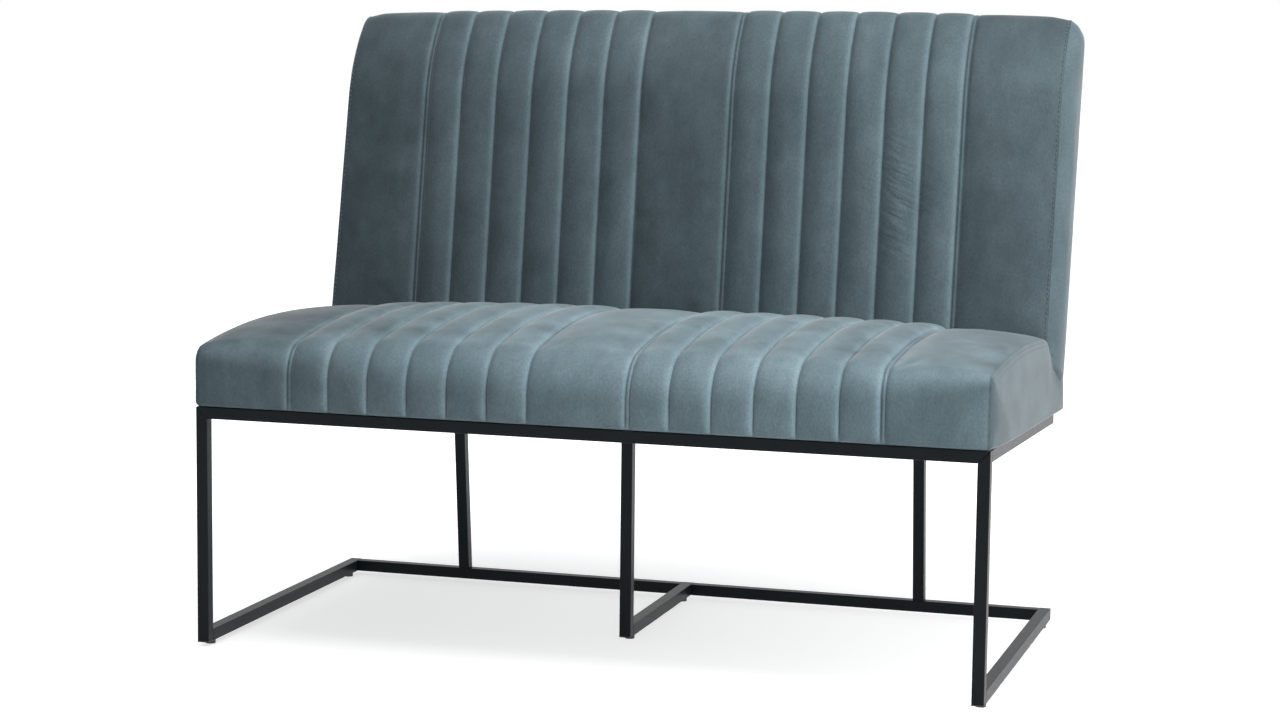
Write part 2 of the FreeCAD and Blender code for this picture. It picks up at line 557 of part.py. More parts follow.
def build_brackets():
    """Bent steel brackets from the seat's rear beam to the back's bottom rail, with their bolts."""
    thick = "Sizes.bracket_thickness"
    foot_up = f"({BEND_UP} - Sizes.bracket_drop)"
    half_turn = "((Sizes.back_lean - Sizes.seat_slope) / 2)"
    mean = "((Sizes.back_lean + Sizes.seat_slope) / 2)"
    outline = [(back_y(STILE_REAR, "Sizes.bracket_rise"), back_z(STILE_REAR, "Sizes.bracket_rise")),
               (BEND_Y, BEND_Z),
               (seat_y(BEAM_REAR, foot_up), seat_z(BEAM_REAR, foot_up)),
               (seat_y(f"{BEAM_REAR} + {thick}", foot_up), seat_z(f"{BEAM_REAR} + {thick}", foot_up)),
               (f"{BEND_Y} + {thick} * cos({mean}) / cos({half_turn})",
                f"{BEND_Z} - {thick} * sin({mean}) / cos({half_turn})"),
               (back_y(f"{STILE_REAR} + {thick}", "Sizes.bracket_rise"),
                back_z(f"{STILE_REAR} + {thick}", "Sizes.bracket_rise"))]
    edge = "Sizes.bracket_bolt_edge"
    hole = "Sizes.bolt_diameter + Sizes.bolt_clearance"
    depth = "Sizes.bracket_bolt_depth"
    brackets, bolts, washers = [], [], []
    beam_holes, rail_holes = [], []
    for index, sign in enumerate(("-1", "0", "1"), 1):
        centre = f"{sign} * Sizes.bracket_offset"
        body = doc.addObject("PartDesign::Body", f"bracket_plate_{index}")
        extrude(body, "Pad", "YZ_Plane", outline, "Sizes.bracket_width")
        place(body, centre)
        plate_holes = []
        for arm, frame, face, up in (("seat", SEAT, BEAM_REAR, f"{foot_up} + {edge}"),
                                     ("back", BACK, STILE_REAR, f"Sizes.bracket_rise - {edge}")):
            for side, shift in (("left", "-0.25"), ("right", "0.25")):
                name = f"{arm}_{index}_{side}"
                x = f"{centre} + {shift} * Sizes.bracket_width"
                head_seat = f"{face} + {thick} + Sizes.washer_thickness"
                plate_hole = rod(f"plate_hole_{name}", hole, thick)
                stand(plate_hole, frame, x, face, up, 90)
                plate_holes.append(plate_hole)
                wood_hole = rod(f"wood_hole_{name}", "Sizes.bolt_diameter", depth)
                stand(wood_hole, frame, x, f"{face} - {depth}", up, 90)
                (beam_holes if arm == "seat" else rail_holes).append(wood_hole)
                disc = rod(f"washer_disc_{name}", "Sizes.washer_diameter", "Sizes.washer_thickness")
                stand(disc, frame, x, f"{face} + {thick}", up, 90)
                disc_hole = rod(f"washer_hole_{name}", hole, "Sizes.washer_thickness")
                stand(disc_hole, frame, x, f"{face} + {thick}", up, 90)
                washers.append(drilled(f"washer_{name}", disc, [disc_hole]))
                head = rod(f"bolt_head_{name}", "Sizes.bolt_head", "Sizes.bolt_head_height")
                stand(head, frame, x, head_seat, up, 90)
                stem = rod(f"bolt_stem_{name}", "Sizes.bolt_diameter",
                           f"{depth} + {thick} + Sizes.washer_thickness")
                stand(stem, frame, x, f"{face} - {depth}", up, 90)
                bolt = doc.addObject("Part::Fuse", f"bolt_{name}")
                bolt.Base, bolt.Tool = head, stem
                bolts.append(bolt)
        brackets.append(drilled(f"bracket_{index}", body, plate_holes))
    group("back_brackets", brackets)
    group("bracket_bolts", bolts)
    group("bracket_washers", washers)
    return beam_holes, rail_holes


def unit(y, z):
    length = math.hypot(y, z)
    return y / length, z / length


def crown_share(x):
    return (abs(x) / (size.width / 2)) ** CROWN_POWER


def seat_plane(y):
    """Height of the sloping seat rails' top at a distance behind the front face."""
    return size.rail_height - (y - size.tube) * math.tan(math.radians(size.seat_slope))


def seat_line(share, lift):
    """Front face, front edge and crowned top of the seat in a plane across it, moved out by lift.

    A route is a list of places (y, z); an arc is given by its middle and its end.
    """
    crest = size.seat_crest - (size.seat_crest - size.seat_crest_end) * share
    edge = size.edge_radius - (size.edge_radius - size.edge_radius_end) * share
    sweep = size.seat_crest_radius
    low = value(SEAT_TOP) - size.seat_crown * share - sweep
    edge_z = low + math.sqrt((sweep - edge) ** 2 - (crest - edge) ** 2)
    out_y, out_z = unit(edge - crest, edge_z - low)
    mid_y, mid_z = unit(out_y - 1, out_z)
    radius = edge + lift
    end_z = low + math.sqrt((sweep + lift) ** 2 - (size.seat_depth - crest) ** 2)
    to_end = unit(size.seat_depth - crest, end_z - low)
    top_y, top_z = unit(out_y + to_end[0], out_z + to_end[1])
    return [(-lift, size.rail_height), (-lift, edge_z),
            ((edge + radius * mid_y, edge_z + radius * mid_z),
             (edge + radius * out_y, edge_z + radius * out_z)),
            ((crest + (sweep + lift) * top_y, low + (sweep + lift) * top_z),
             (size.seat_depth, end_z))]


def shoulder_line(inset):
    """Fall of the seat under the back and its rear face, from its rear lower edge up."""
    angle = math.radians(size.shoulder_angle)
    start_z = value(SEAT_END_Z)
    rear_y = size.seat_depth + size.seat_rear
    corner_z = start_z - size.seat_rear * math.tan(angle)
    run = size.shoulder_radius * math.tan((math.pi / 2 - angle) / 2)
    centre_y, centre_z = rear_y - size.shoulder_radius, corner_z - run
    radius = size.shoulder_radius - inset
    normal = (math.sin(angle), math.cos(angle))
    mid_y, mid_z = unit(normal[0] + 1, normal[1])
    return [(centre_y + radius, seat_plane(rear_y) + inset), (centre_y + radius, centre_z),
            ((centre_y + radius * mid_y, centre_z + radius * mid_z),
             (centre_y + radius * normal[0], centre_z + radius * normal[1])),
            (size.seat_depth, start_z - inset / math.cos(angle))]


def back_line(share, lift, raised=0):
    """Front, top and rear hem of the back in a plane across it, in the back's own leaning frame.

    The front runs straight from its foot, raised over the seat's shoulder, to its fullest line, and in
    two arcs on to the top.
    """
    front = size.back_set * share
    top = size.back_length - size.back_crown * share
    near, far, bow = size.back_front_radius, size.back_rear_radius, size.back_bow_radius
    diagonal = math.sqrt(0.5)
    ahead = size.back_bow - (size.back_bow - size.back_bow_end) * share
    full = (front - ahead, top - size.back_bow_drop)
    in_y, in_z = unit(full[1], ahead)
    hub = (full[0] + bow * in_y, full[1] + bow * in_z)
    edge_up = top - near
    edge = hub[0] - math.sqrt((bow - near) ** 2 - (edge_up - hub[1]) ** 2)
    meet_y, meet_z = unit(edge - hub[0], edge_up - hub[1])
    half_y, half_z = unit(meet_y - in_y, meet_z - in_z)
    round_y, round_z = unit(meet_y, meet_z + 1)
    line_y, line_z = full[0] - lift * in_y, full[1] - lift * in_z
    slope = math.tan(math.radians(size.shoulder_angle - size.back_lean))
    fall = (line_z + line_y * slope - raised) / (in_y - in_z * slope)
    return [(line_y + fall * in_z, line_z - fall * in_y), (line_y, line_z),
            ((hub[0] + (bow + lift) * half_y, hub[1] + (bow + lift) * half_z),
             (hub[0] + (bow + lift) * meet_y, hub[1] + (bow + lift) * meet_z)),
            ((edge + (near + lift) * round_y, edge_up + (near + lift) * round_z), (edge, top + lift)),
            (size.back_thickness - far, top + lift),
            ((size.back_thickness - far + (far + lift) * diagonal, top - far + (far + lift) * diagonal),
             (size.back_thickness + lift, top - far))]


def back_cut(deep):
    """Foot of the back at a distance behind its front, on the seat's shoulder."""
    return -deep * math.tan(math.radians(size.shoulder_angle - size.back_lean))


def reversed_route(route):
    """The same route from its end to its start."""
    ends = [step[1] if isinstance(step[0], tuple) else step for step in route]
    back = [ends[-1]]
    for step, before in zip(reversed(route[1:]), reversed(ends[:-1])):
        back.append((step[0], before) if isinstance(step[0], tuple) else before)
    return back


def closed_wire(x, route):
    """A closed outline across the bench at x, of lines and arcs."""
    edges = []
    start = last = FreeCAD.Vector(x, *route[0])
    for step in route[1:]:
        if isinstance(step[0], tuple):
            middle, end = (FreeCAD.Vector(x, *point) for point in step)
            edges.append(Part.Arc(last, middle, end).toShape())
        else:
            end = FreeCAD.Vector(x, *step)
            edges.append(Part.LineSegment(last, end).toShape())
        last = end
    edges.append(Part.LineSegment(last, start).toShape())
    return Part.Wire(edges)


def loft(wires, ruled=False):
    solid = Part.makeLoft(wires, True, ruled)
    if solid.Volume < 0:
        solid.reverse()
    return solid


def soft_piece(label, shape, frame=None):
    piece = doc.addObject("Part::Feature", label)
    piece.Shape = shape
    if frame is None:
        place(piece)
    else:
        stand(piece, frame, "0", "0", "0")
    return keep(piece, label)


def seat_strip(left, right, puff):
    """One strip of the seat cover between two seams."""
    inner = reversed_route(seat_line(crown_share(value(COVER_END)), -size.cover_thickness))
    places = ((left, 0), ((left + right) / 2, puff), (right, 0))
    return loft([closed_wire(x, seat_line(crown_share(x), lift) + inner) for x, lift in places])


def back_strip(left, right, puff):
    """One strip of the back cover between two seams, over the top and down to the hem."""
    hem = size.back_length - size.back_hem
    inside = back_line(crown_share(value(COVER_END)), -size.cover_thickness)
    inner = [(size.back_thickness - size.cover_thickness, hem)] + reversed_route(inside)
    places = ((left, 0), ((left + right) / 2, puff), (right, 0))
    return loft([closed_wire(x, back_line(crown_share(x), lift) + [(size.back_thickness + lift, hem)] + inner)
                 for x, lift in places])


def build_covers(area, strip, frame):
    """Plain panels at the ends and in the middle, with a group of channels between each two."""
    end = value(COVER_END)
    plain = size.width / 3 - 2 * CHANNELS * size.channel_width / 3
    first = plain / 2
    last = first + CHANNELS * size.channel_width
    for name, left, right in (("left", -end, -last), ("centre", -first, first), ("right", last, end)):
        soft_piece(f"{area}_{name}_panel", strip(left, right, size.plain_puff), frame)
    for name, start in (("left", -last), ("right", first)):
        seams = [start + step * size.channel_width for step in range(CHANNELS + 1)]
        channels = [strip(left, right, size.channel_puff) for left, right in zip(seams, seams[1:])]
        soft_piece(f"{area}_{name}_channels", Part.makeCompound(channels), frame)


def seat_boxing_route(inset):
    top = seat_line(crown_share(value(COVER_END)), -inset)
    top[0] = (inset, seat_plane(inset) + inset + size.soft_gap)
    shoulder = reversed_route(shoulder_line(inset))
    rear_y, rear_z = shoulder[-1]
    shoulder[-1] = (rear_y, rear_z + size.soft_gap)
    return top + shoulder[1:]


def back_boxing_route(inset):
    rear = size.back_thickness - inset
    return back_line(crown_share(value(COVER_END)), -inset, inset) + [(rear, back_cut(rear) + inset)]


def build_boxings(area, route, bulge, frame):
    """Side boxings: flat against the cover's ends, rounded towards the outside."""
    start = value(COVER_END)
    outside = size.width / 2 + bulge
    shares = ((0, 0), (0.7, 0.25), (1, 1))  # along the boxing's thickness, and of its rounded edge
    for name, sign in (("left", -1), ("right", 1)):
        wires = [closed_wire(sign * (start + along * (outside - start)), route(inset * size.boxing_round))
                 for along, inset in shares]
        soft_piece(f"{area}_{name}_boxing", loft(wires), frame)


def build_fillings():
    """Seat and back foam, and the seat's rear band with slots for the brackets."""
    end = value(COVER_END)
    clear = size.cover_thickness + size.soft_gap
    top = seat_line(crown_share(end), -clear)
    layers = size.dust_cover + size.beam_height + 2 * size.strap_thickness
    floor = layers / math.cos(math.radians(size.seat_slope))
    foam_rear = size.seat_depth - size.soft_gap
    top[0] = (clear, seat_plane(clear) + floor)
    foam = Part.Face(closed_wire(-end, top + [(size.seat_depth, seat_plane(size.seat_depth) + floor)]))
    block_foam = foam.extrude(FreeCAD.Vector(2 * end, 0, 0))
    keep_front = Part.makeBox(2 * end, foam_rear, value(SEAT_TOP), FreeCAD.Vector(-end, 0, 0))
    soft_piece("seat_foam", block_foam.common(keep_front).Solids[0])

    inside = back_line(crown_share(end), -clear, size.soft_gap)[:5]
    profile = inside + [(inside[-1][0], back_cut(inside[-1][0]) + size.soft_gap)]
    block_back = Part.Face(closed_wire(-end, profile)).extrude(FreeCAD.Vector(2 * end, 0, 0))
    rear, reach = value(BOARD_FRONT), size.back_length
    before_board = Part.makeBox(2 * end, reach, 2 * reach, FreeCAD.Vector(-end, rear - reach, -reach / 2))
    soft_piece("back_foam", block_back.common(before_board).Solids[0], BACK)

    outer, inner = shoulder_line(0), shoulder_line(size.band_thickness)
    inner[0] = (inner[0][0], seat_plane(inner[0][0]))
    band = Part.Face(closed_wire(-end, outer + reversed_route(inner))).extrude(FreeCAD.Vector(2 * end, 0, 0))
    slot_wide = size.bracket_width + 2 * size.bracket_slot
    slot_deep = size.bracket_thickness + 2 * size.bracket_slot
    for sign in (-1, 0, 1):
        low = FreeCAD.Vector(sign * size.bracket_offset - slot_wide / 2, value(BEND_Y) - size.bracket_slot,
                             value(BEND_Z) - size.shoulder_radius / 2)
        band = band.cut(Part.makeBox(slot_wide, slot_deep, size.shoulder_radius, low))
    soft_piece("seat_rear_band", band.Solids[0])


def check_and_write():
    doc.recompute()
    failed = [item.Name for item in doc.Objects if {"Invalid", "Error"} & set(item.State)]
    failed += [piece.Label for piece in nodes if piece.Shape.isNull() or not piece.Shape.isValid()]
    if failed:
        raise RuntimeError(f"not built: {failed}")
    os.makedirs("parts", exist_ok=True)
    for piece in nodes:
        piece.Shape.exportStep(f"parts/{piece.Label}.step")
        print(f"{piece.Label}: {len(piece.Shape.Solids)} solids, {piece.Shape.Volume / 1000:.1f} cm3")


build_base()
fixing_holes = build_fixings()
beam_bolt_holes, rail_bolt_holes = build_brackets()
build_seat_frame(fixing_holes, beam_bolt_holes)
build_back_frame(rail_bolt_holes)
build_fillings()
build_covers("seat", seat_strip, None)
build_covers("back", back_strip, BACK)
build_boxings("seat", seat_boxing_route, size.seat_boxing_bulge, None)
build_boxings("back", back_boxing_route, size.back_boxing_bulge, BACK)
check_and_write()
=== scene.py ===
import json
import math

import bpy
import numpy as np
from mathutils import Matrix, Vector
from mathutils.bvhtree import BVHTree


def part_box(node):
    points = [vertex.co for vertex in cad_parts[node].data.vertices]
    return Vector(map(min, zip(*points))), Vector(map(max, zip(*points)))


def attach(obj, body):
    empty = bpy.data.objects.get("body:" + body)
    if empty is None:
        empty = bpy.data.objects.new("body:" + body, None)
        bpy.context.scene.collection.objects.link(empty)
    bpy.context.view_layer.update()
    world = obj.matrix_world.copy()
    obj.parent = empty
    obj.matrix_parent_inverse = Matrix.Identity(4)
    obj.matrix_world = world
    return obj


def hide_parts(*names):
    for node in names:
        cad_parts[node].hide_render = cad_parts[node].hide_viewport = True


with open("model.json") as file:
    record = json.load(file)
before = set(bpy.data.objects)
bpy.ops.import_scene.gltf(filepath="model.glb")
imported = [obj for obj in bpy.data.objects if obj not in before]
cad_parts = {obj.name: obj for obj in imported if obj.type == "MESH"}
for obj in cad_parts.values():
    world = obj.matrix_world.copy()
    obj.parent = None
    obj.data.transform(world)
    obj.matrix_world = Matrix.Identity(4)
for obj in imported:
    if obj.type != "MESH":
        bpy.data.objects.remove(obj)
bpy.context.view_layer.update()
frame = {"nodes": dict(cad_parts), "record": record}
nodes = frame["nodes"]
scene = bpy.context.scene
rng = np.random.default_rng(7)

# Lengths below are in millimetres, as in the part's source, and MM turns them into metres.
MM = 0.001
TINY = 1e-9  # keeps a division by a length of zero harmless
NEAR = 1e-6  # places closer than this are the same
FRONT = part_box("front_rail")[0].y / MM  # the frame's front face
RAIL_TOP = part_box("front_rail")[1].z / MM
HALF_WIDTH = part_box("front_rail")[1].x / MM
END_INSET = 4.5  # the end seams lie this far inside the frame's ends
COVER_END = HALF_WIDTH - END_INSET
TUBE = 18  # width of the square tube
SOFT_GAP = 0.5  # between soft pieces that only touch
RAIL_GAP = 0.4  # between the covers and the rails under them

CHANNEL_WIDTH = 62
CHANNELS = 6
CHANNEL_PUFF = 8  # swell of a channel
PLAIN_PUFF = 5  # and of a plain panel
PLAIN = (2 * HALF_WIDTH - 2 * CHANNELS * CHANNEL_WIDTH) / 3
FIRST_SEAM = PLAIN / 2
LAST_SEAM = FIRST_SEAM + CHANNELS * CHANNEL_WIDTH
TWIN = 3.2  # each of the two grooves at a border lies this far from it
SEAM_DEPTH = -1.2
GROOVE_DEPTH = -1.6
RIDGE = 1.2  # height of the cloth between the two grooves
END_TUCK = 4.0  # the cover's ends turn in this deep under the boxings
END_LAP = 0.5  # and this far past the end seams

SEAT_SLOPE = math.radians(2.3)
SEAT_THICKNESS = 130
SEAT_TOP = RAIL_TOP + SEAT_THICKNESS
SEAT_CREST = 295  # highest place of the top behind the front face
SEAT_CREST_END = 240  # the same at the ends
SWEEP = 1200  # radius of the top
EDGE_RADIUS = 66  # of the front edge
# The seat's left and right ends: fall from the middle, sweep of the top and radius of the front edge.
SEAT_ENDS = {-1: (20, 1400, 26), 1: (17, 2500, 15)}
SEAT_DEPTH = 490  # to the crease
SHOULDER_DEPTH = 115
SEAT_REAR = SEAT_DEPTH + SHOULDER_DEPTH
SHOULDER_ANGLE = math.radians(24)  # fall of the seat under the back
SHOULDER_RADIUS = 35
# The back stands on the seat's solids, which are a little thicker than the cover and fall at their ends.
SOLID_THICKNESS = 133
SOLID_END_FALL = 21
SEAT_END_Z = (RAIL_TOP + SOLID_THICKNESS - SOLID_END_FALL - SWEEP
              + math.sqrt(SWEEP ** 2 - (SEAT_DEPTH - SEAT_CREST_END) ** 2))

BACK_LEAN = math.radians(13.2)
BACK_LENGTH = 520.5
BACK_CROWN = -3  # fall of the top from the middle to the ends
BACK_SET = 10  # the ends of the front lie this far behind its middle
BACK_SKEW = 0.009  # the back stands a little higher at its right end
BACK_THICKNESS = 110
BACK_FRONT_RADIUS = 30
BACK_BOW = 33  # swell of the front in the middle
BACK_BOW_END = 8  # and at the ends
BACK_BOW_DROP = 154  # its fullest line lies this far below the top
BACK_BOW_RADIUS = 250
BACK_REAR_RADIUS = 22
BACK_HEM = 45  # the outside back starts this far below the top
# Slope of the back's foot in its own frame, and lean of the front's straight lower part.
BACK_CUT = math.tan(SHOULDER_ANGLE - BACK_LEAN)
FOOT_LEAN = BACK_LEAN - math.atan2(BACK_BOW, BACK_LENGTH - BACK_BOW_DROP)
BACK_Y = SEAT_DEPTH + CHANNEL_PUFF + SOFT_GAP
BACK_Z = SEAT_END_Z + SOFT_GAP

# Rows of the covers' outlines.
SEAT_TUCK = 5  # the fold on the rail
SEAT_ROLL = 8  # the roll into the crease and the fall behind it
SEAT_DROP = 4  # that fall alone
BACK_TUCK = 4  # the fold at the back's foot
BACK_TAIL = 3  # the turned-in hem
BACK_FRONT_ROWS = 91  # the back's front, up to its bow's upper end
BACK_TOP_ROWS = (102, 125)  # from the middle of the front edge over the top to the rear edge


# Materials

def feed(tree, node, inputs):
    """Sets inputs of a node, each to a plain value or by a link from another node's output."""
    for name, value in inputs.items():
        if isinstance(value, bpy.types.NodeSocket):
            tree.links.new(value, node.inputs[name])
        else:
            node.inputs[name].default_value = value


def add(tree, kind, inputs, **settings):
    """A new node with its settings and inputs; gives its outputs."""
    node = tree.nodes.new(f"ShaderNode{kind}")
    for name, value in settings.items():
        setattr(node, name, value)
    feed(tree, node, inputs)
    return node.outputs


def node_material(name, base, roughness, specular=0.5, metallic=0.0):
    """A Principled material and its node tools; constant values sit on the shader's own sockets."""
    material = bpy.data.materials.new(name)
    material.use_nodes = True
    tree = material.node_tree
    shader = tree.nodes["Principled BSDF"]
    feed(tree, shader, {"Base Color": (*base, 1), "Roughness": roughness, "Specular IOR Level": specular,
                        "Metallic": metallic})
    return material, tree, shader


def noise(tree, scale, detail=4.0, rough=0.55, stretch=None):
    """Noise in the piece's own coordinates, stretched or not."""
    place = add(tree, "TexCoord", {})["Object"]
    if stretch is not None:
        place = add(tree, "Mapping", {"Vector": place, "Scale": stretch})["Vector"]
    inputs = {"Vector": place, "Scale": scale, "Detail": detail, "Roughness": rough}
    return add(tree, "TexNoise", inputs)["Fac"]


def ramp(tree, value, low, high, dark, light):
    """A colour that goes from dark at the value low to light at the value high."""
    node = tree.nodes.new("ShaderNodeValToRGB")
    for stop, place, colour in zip(node.color_ramp.elements, (low, high), (dark, light)):
        stop.position = place
        stop.color = (*colour, 1)
    feed(tree, node, {"Fac": value})
    return node.outputs["Color"]


def multiplied(tree, first, second):
    """Two colours multiplied."""
    return add(tree, "Mix", {"Factor": 1.0, "A": first, "B": second}, data_type="RGBA",
               blend_type="MULTIPLY")["Result"]


def stored(tree, name):
    """The number that a piece keeps under a name at each of its points."""
    return add(tree, "Attribute", {}, attribute_name=name)["Fac"]


def combined(tree, kind, first, second):
    """Two values put together by a Math node."""
    return add(tree, "Math", {0: first, 1: second}, operation=kind)["Value"]


def bump(tree, shader, layers):
    """Bump layers of (height, strength, distance in metres), one on top of the other."""
    lower = {}
    for height, strength, distance in layers:
        inputs = {"Height": height, "Strength": strength, "Distance": distance}
        lower = {"Normal": add(tree, "Bump", inputs | lower)["Normal"]}
    feed(tree, shader, lower)


def spread(tree, value, low, high):
    """A value from 0 to 1 spread from low to high."""
    return add(tree, "MapRange", {"Value": value, "To Min": low, "To Max": high})["Result"]


def fine_folds(tree):
    """Long thin folds that run aslant, as heights."""
    place = add(tree, "TexCoord", {})["Object"]
    turn = (0, math.radians(24), 0)
    aslant = add(tree, "Mapping", {"Vector": place, "Rotation": turn, "Scale": (0.07, 0.05, 0.011)},
                 vector_type="TEXTURE")["Vector"]
    return add(tree, "TexNoise", {"Vector": aslant, "Scale": 1.0, "Detail": 2.0})["Fac"]


def make_velvet():
    """Short-pile velvet: rubbed patches, streaks along the pile, painted shade at the seams, painted light
    and shade, folds and a soft sheen.
    """
    material, tree, shader = node_material("velvet", (0.10, 0.14, 0.16), 0.9, 0.15)
    patches = ramp(tree, noise(tree, 7.0, 3.0, 0.6, (1.6, 1.0, 0.8)), 0.34, 0.68,
                   (0.088, 0.126, 0.143), (0.112, 0.156, 0.174))
    streaks = ramp(tree, noise(tree, 34.0, 5.0, 0.65, (1.3, 0.7, 0.55)), 0.3, 0.72,
                   (0.90, 0.90, 0.905), (1.09, 1.085, 1.08))
    pile = ramp(tree, noise(tree, 330.0, 3.0, 0.6, (1.2, 1.0, 0.7)), 0.3, 0.7,
                (0.86, 0.86, 0.86), (1.13, 1.13, 1.13))
    valley = stored(tree, "valley")
    # Painted shade: the colour darkens in the seams and at the cover's ends, by the stored valley number.
    pressed = ramp(tree, valley, 0.45, 1.0, (1.0, 1.0, 1.0), (0.62, 0.64, 0.66))
    colour = patches
    for layer in (streaks, pile, pressed):
        colour = multiplied(tree, colour, layer)
    # Painted light and shade from the stored number, with the pile's random patches, scale the colour.
    painted_light_scale = combined(tree, "ADD", stored(tree, "nap_and_painted_light"), 1.0)
    painted_light_and_shade = add(tree, "VectorMath", {0: colour, "Scale": painted_light_scale}, operation="SCALE")["Vector"]
    feed(tree, shader, {"Base Color": painted_light_and_shade, "Roughness": spread(tree, noise(tree, 60.0, 3.0), 0.82, 0.98),
                        "Sheen Weight": 0.42, "Sheen Roughness": 0.32, "Sheen Tint": (0.94, 0.95, 0.95, 1)})
    puckers = combined(tree, "MULTIPLY", noise(tree, 130.0, 2.0, 0.5, (0.25, 1.0, 1.0)), valley)
    folds = combined(tree, "MULTIPLY", fine_folds(tree), stored(tree, "wrinkle"))
    bump(tree, shader, [(noise(tree, 45.0, 4.0, 0.6), 0.05, 0.004), (puckers, 0.4, 0.003),
                        (folds, 0.45, 0.005), (noise(tree, 1400.0, 2.0), 0.25, 0.0004)])
    return material


# The thread's dark colour is partly its own and partly painted shade of the puckers around each stitch.
def make_thread():
    material, tree, shader = node_material("thread", (0.03, 0.044, 0.05), 0.6, 0.3)
    colour = ramp(tree, noise(tree, 2600.0, 2.0), 0.35, 0.65, (0.024, 0.036, 0.042), (0.042, 0.06, 0.068))
    feed(tree, shader, {"Base Color": colour, "Sheen Weight": 0.3})
    bump(tree, shader, [(noise(tree, 3200.0, 1.0), 0.4, 0.0003)])
    return material


def make_powder_coat():
    """Satin black powder coat with its fine orange peel and slight dust on it."""
    material, tree, shader = node_material("powder_coat", (0.0046, 0.0074, 0.0090), 0.36, 0.1)
    colour = ramp(tree, noise(tree, 26.0, 5.0), 0.35, 0.75,
                  (0.0048, 0.0072, 0.0086), (0.0072, 0.0106, 0.0124))
    feed(tree, shader, {"Base Color": colour, "Roughness": spread(tree, noise(tree, 140.0, 4.0), 0.3, 0.42)})
    bump(tree, shader, [(noise(tree, 900.0, 3.0), 0.12, 0.0004), (noise(tree, 2600.0, 1.0), 0.08, 0.0002)])
    return material


def make_plastic():
    material, tree, shader = node_material("black_plastic", (0.014, 0.014, 0.015), 0.5, 0.5)
    colour = ramp(tree, noise(tree, 200.0), 0.3, 0.7, (0.011, 0.011, 0.012), (0.02, 0.02, 0.021))
    feed(tree, shader, {"Base Color": colour, "Roughness": spread(tree, noise(tree, 500.0), 0.42, 0.6)})
    bump(tree, shader, [(noise(tree, 2200.0, 2.0), 0.2, 0.0003)])
    return material


def make_zinc():
    material, tree, shader = node_material("zinc_steel", (0.55, 0.56, 0.57), 0.35, 0.5, 1.0)
    colour = ramp(tree, noise(tree, 90.0, 6.0), 0.3, 0.7, (0.46, 0.47, 0.48), (0.64, 0.65, 0.65))
    feed(tree, shader, {"Base Color": colour, "Roughness": spread(tree, noise(tree, 160.0), 0.26, 0.46)})
    bump(tree, shader, [(noise(tree, 1600.0, 2.0, 0.5, (1, 8, 8)), 0.08, 0.0002)])
    return material


def make_grained(name, base, roughness, specular, grain, limits, dark, light, height):
    """A material with one grain in its colour and in its bump."""
    material, tree, shader = node_material(name, base, roughness, specular)
    texture = noise(tree, *grain)
    feed(tree, shader, {"Base Color": ramp(tree, texture, *limits, dark, light)})
    bump(tree, shader, [(texture, *height)])
    return material, tree, shader, texture


def make_wood():
    material, tree, shader, grain = make_grained(
        "wood", (0.62, 0.47, 0.30), 0.7, 0.3, (40.0, 6.0, 0.6, (0.25, 2.2, 2.2)), (0.32, 0.68),
        (0.50, 0.35, 0.20), (0.70, 0.56, 0.38), (0.2, 0.0008))
    feed(tree, shader, {"Roughness": spread(tree, grain, 0.6, 0.8)})
    return material


def make_webbing():
    return make_grained("webbing", (0.35, 0.33, 0.28), 0.85, 0.2, (700.0, 2.0, 0.5, (1, 0.3, 1)),
                        (0.35, 0.65), (0.26, 0.24, 0.20), (0.42, 0.40, 0.34), (0.4, 0.0008))[0]


def make_dust_cloth():
    return make_grained("dust_cloth", (0.02, 0.02, 0.02), 0.9, 0.2, (420.0, 5.0, 0.7), (0.3, 0.7),
                        (0.013, 0.013, 0.014), (0.034, 0.034, 0.035), (0.35, 0.0008))[0]


def make_foam():
    return make_grained("foam", (0.80, 0.78, 0.70), 0.95, 0.1, (600.0, 3.0), (0.3, 0.7),
                        (0.70, 0.67, 0.57), (0.85, 0.83, 0.75), (0.4, 0.001))[0]


MATERIALS = {"velvet": make_velvet(), "powder_coat": make_powder_coat(), "black_plastic": make_plastic(),
             "zinc_steel": make_zinc(), "wood": make_wood(), "webbing": make_webbing(),
             "dust_cloth": make_dust_cloth(), "foam": make_foam()}
THREAD = make_thread()


# Meshes

def new_piece(name, verts, faces, slot="velvet", material=None):
    """A smooth piece from points in millimetres, riding on the bench, in its slot's material or its own."""
    mesh = bpy.data.meshes.new(name)
    mesh.from_pydata([tuple(point) for point in np.asarray(verts) * MM], [], faces)
    mesh.polygons.foreach_set("use_smooth", [True] * len(mesh.polygons))
    mesh.materials.append(material or MATERIALS[slot])
    mesh.update()
    piece = bpy.data.objects.new(name, mesh)
    scene.collection.objects.link(piece)
    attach(piece, "root")
    return piece


def grid_faces(rows, columns, flip=False):
    """Faces of a grid of points, row by row."""
    index = np.arange(rows * columns).reshape(rows, columns)
    quads = np.stack([index[:-1, :-1], index[:-1, 1:], index[1:, 1:], index[1:, :-1]], -1).reshape(-1, 4)
    if flip:
        quads = quads[:, ::-1]
    return quads.tolist()


def grid_normals(grid):
    """Outward directions at the points of a grid."""
    normal = np.cross(np.gradient(grid, axis=1), np.gradient(grid, axis=0))
    return normal / np.maximum(np.linalg.norm(normal, axis=2), TINY)[..., None]


def subdivide(piece):
    modifier = piece.modifiers.new("smooth", "SUBSURF")
    modifier.levels = 1
    modifier.render_levels = 1


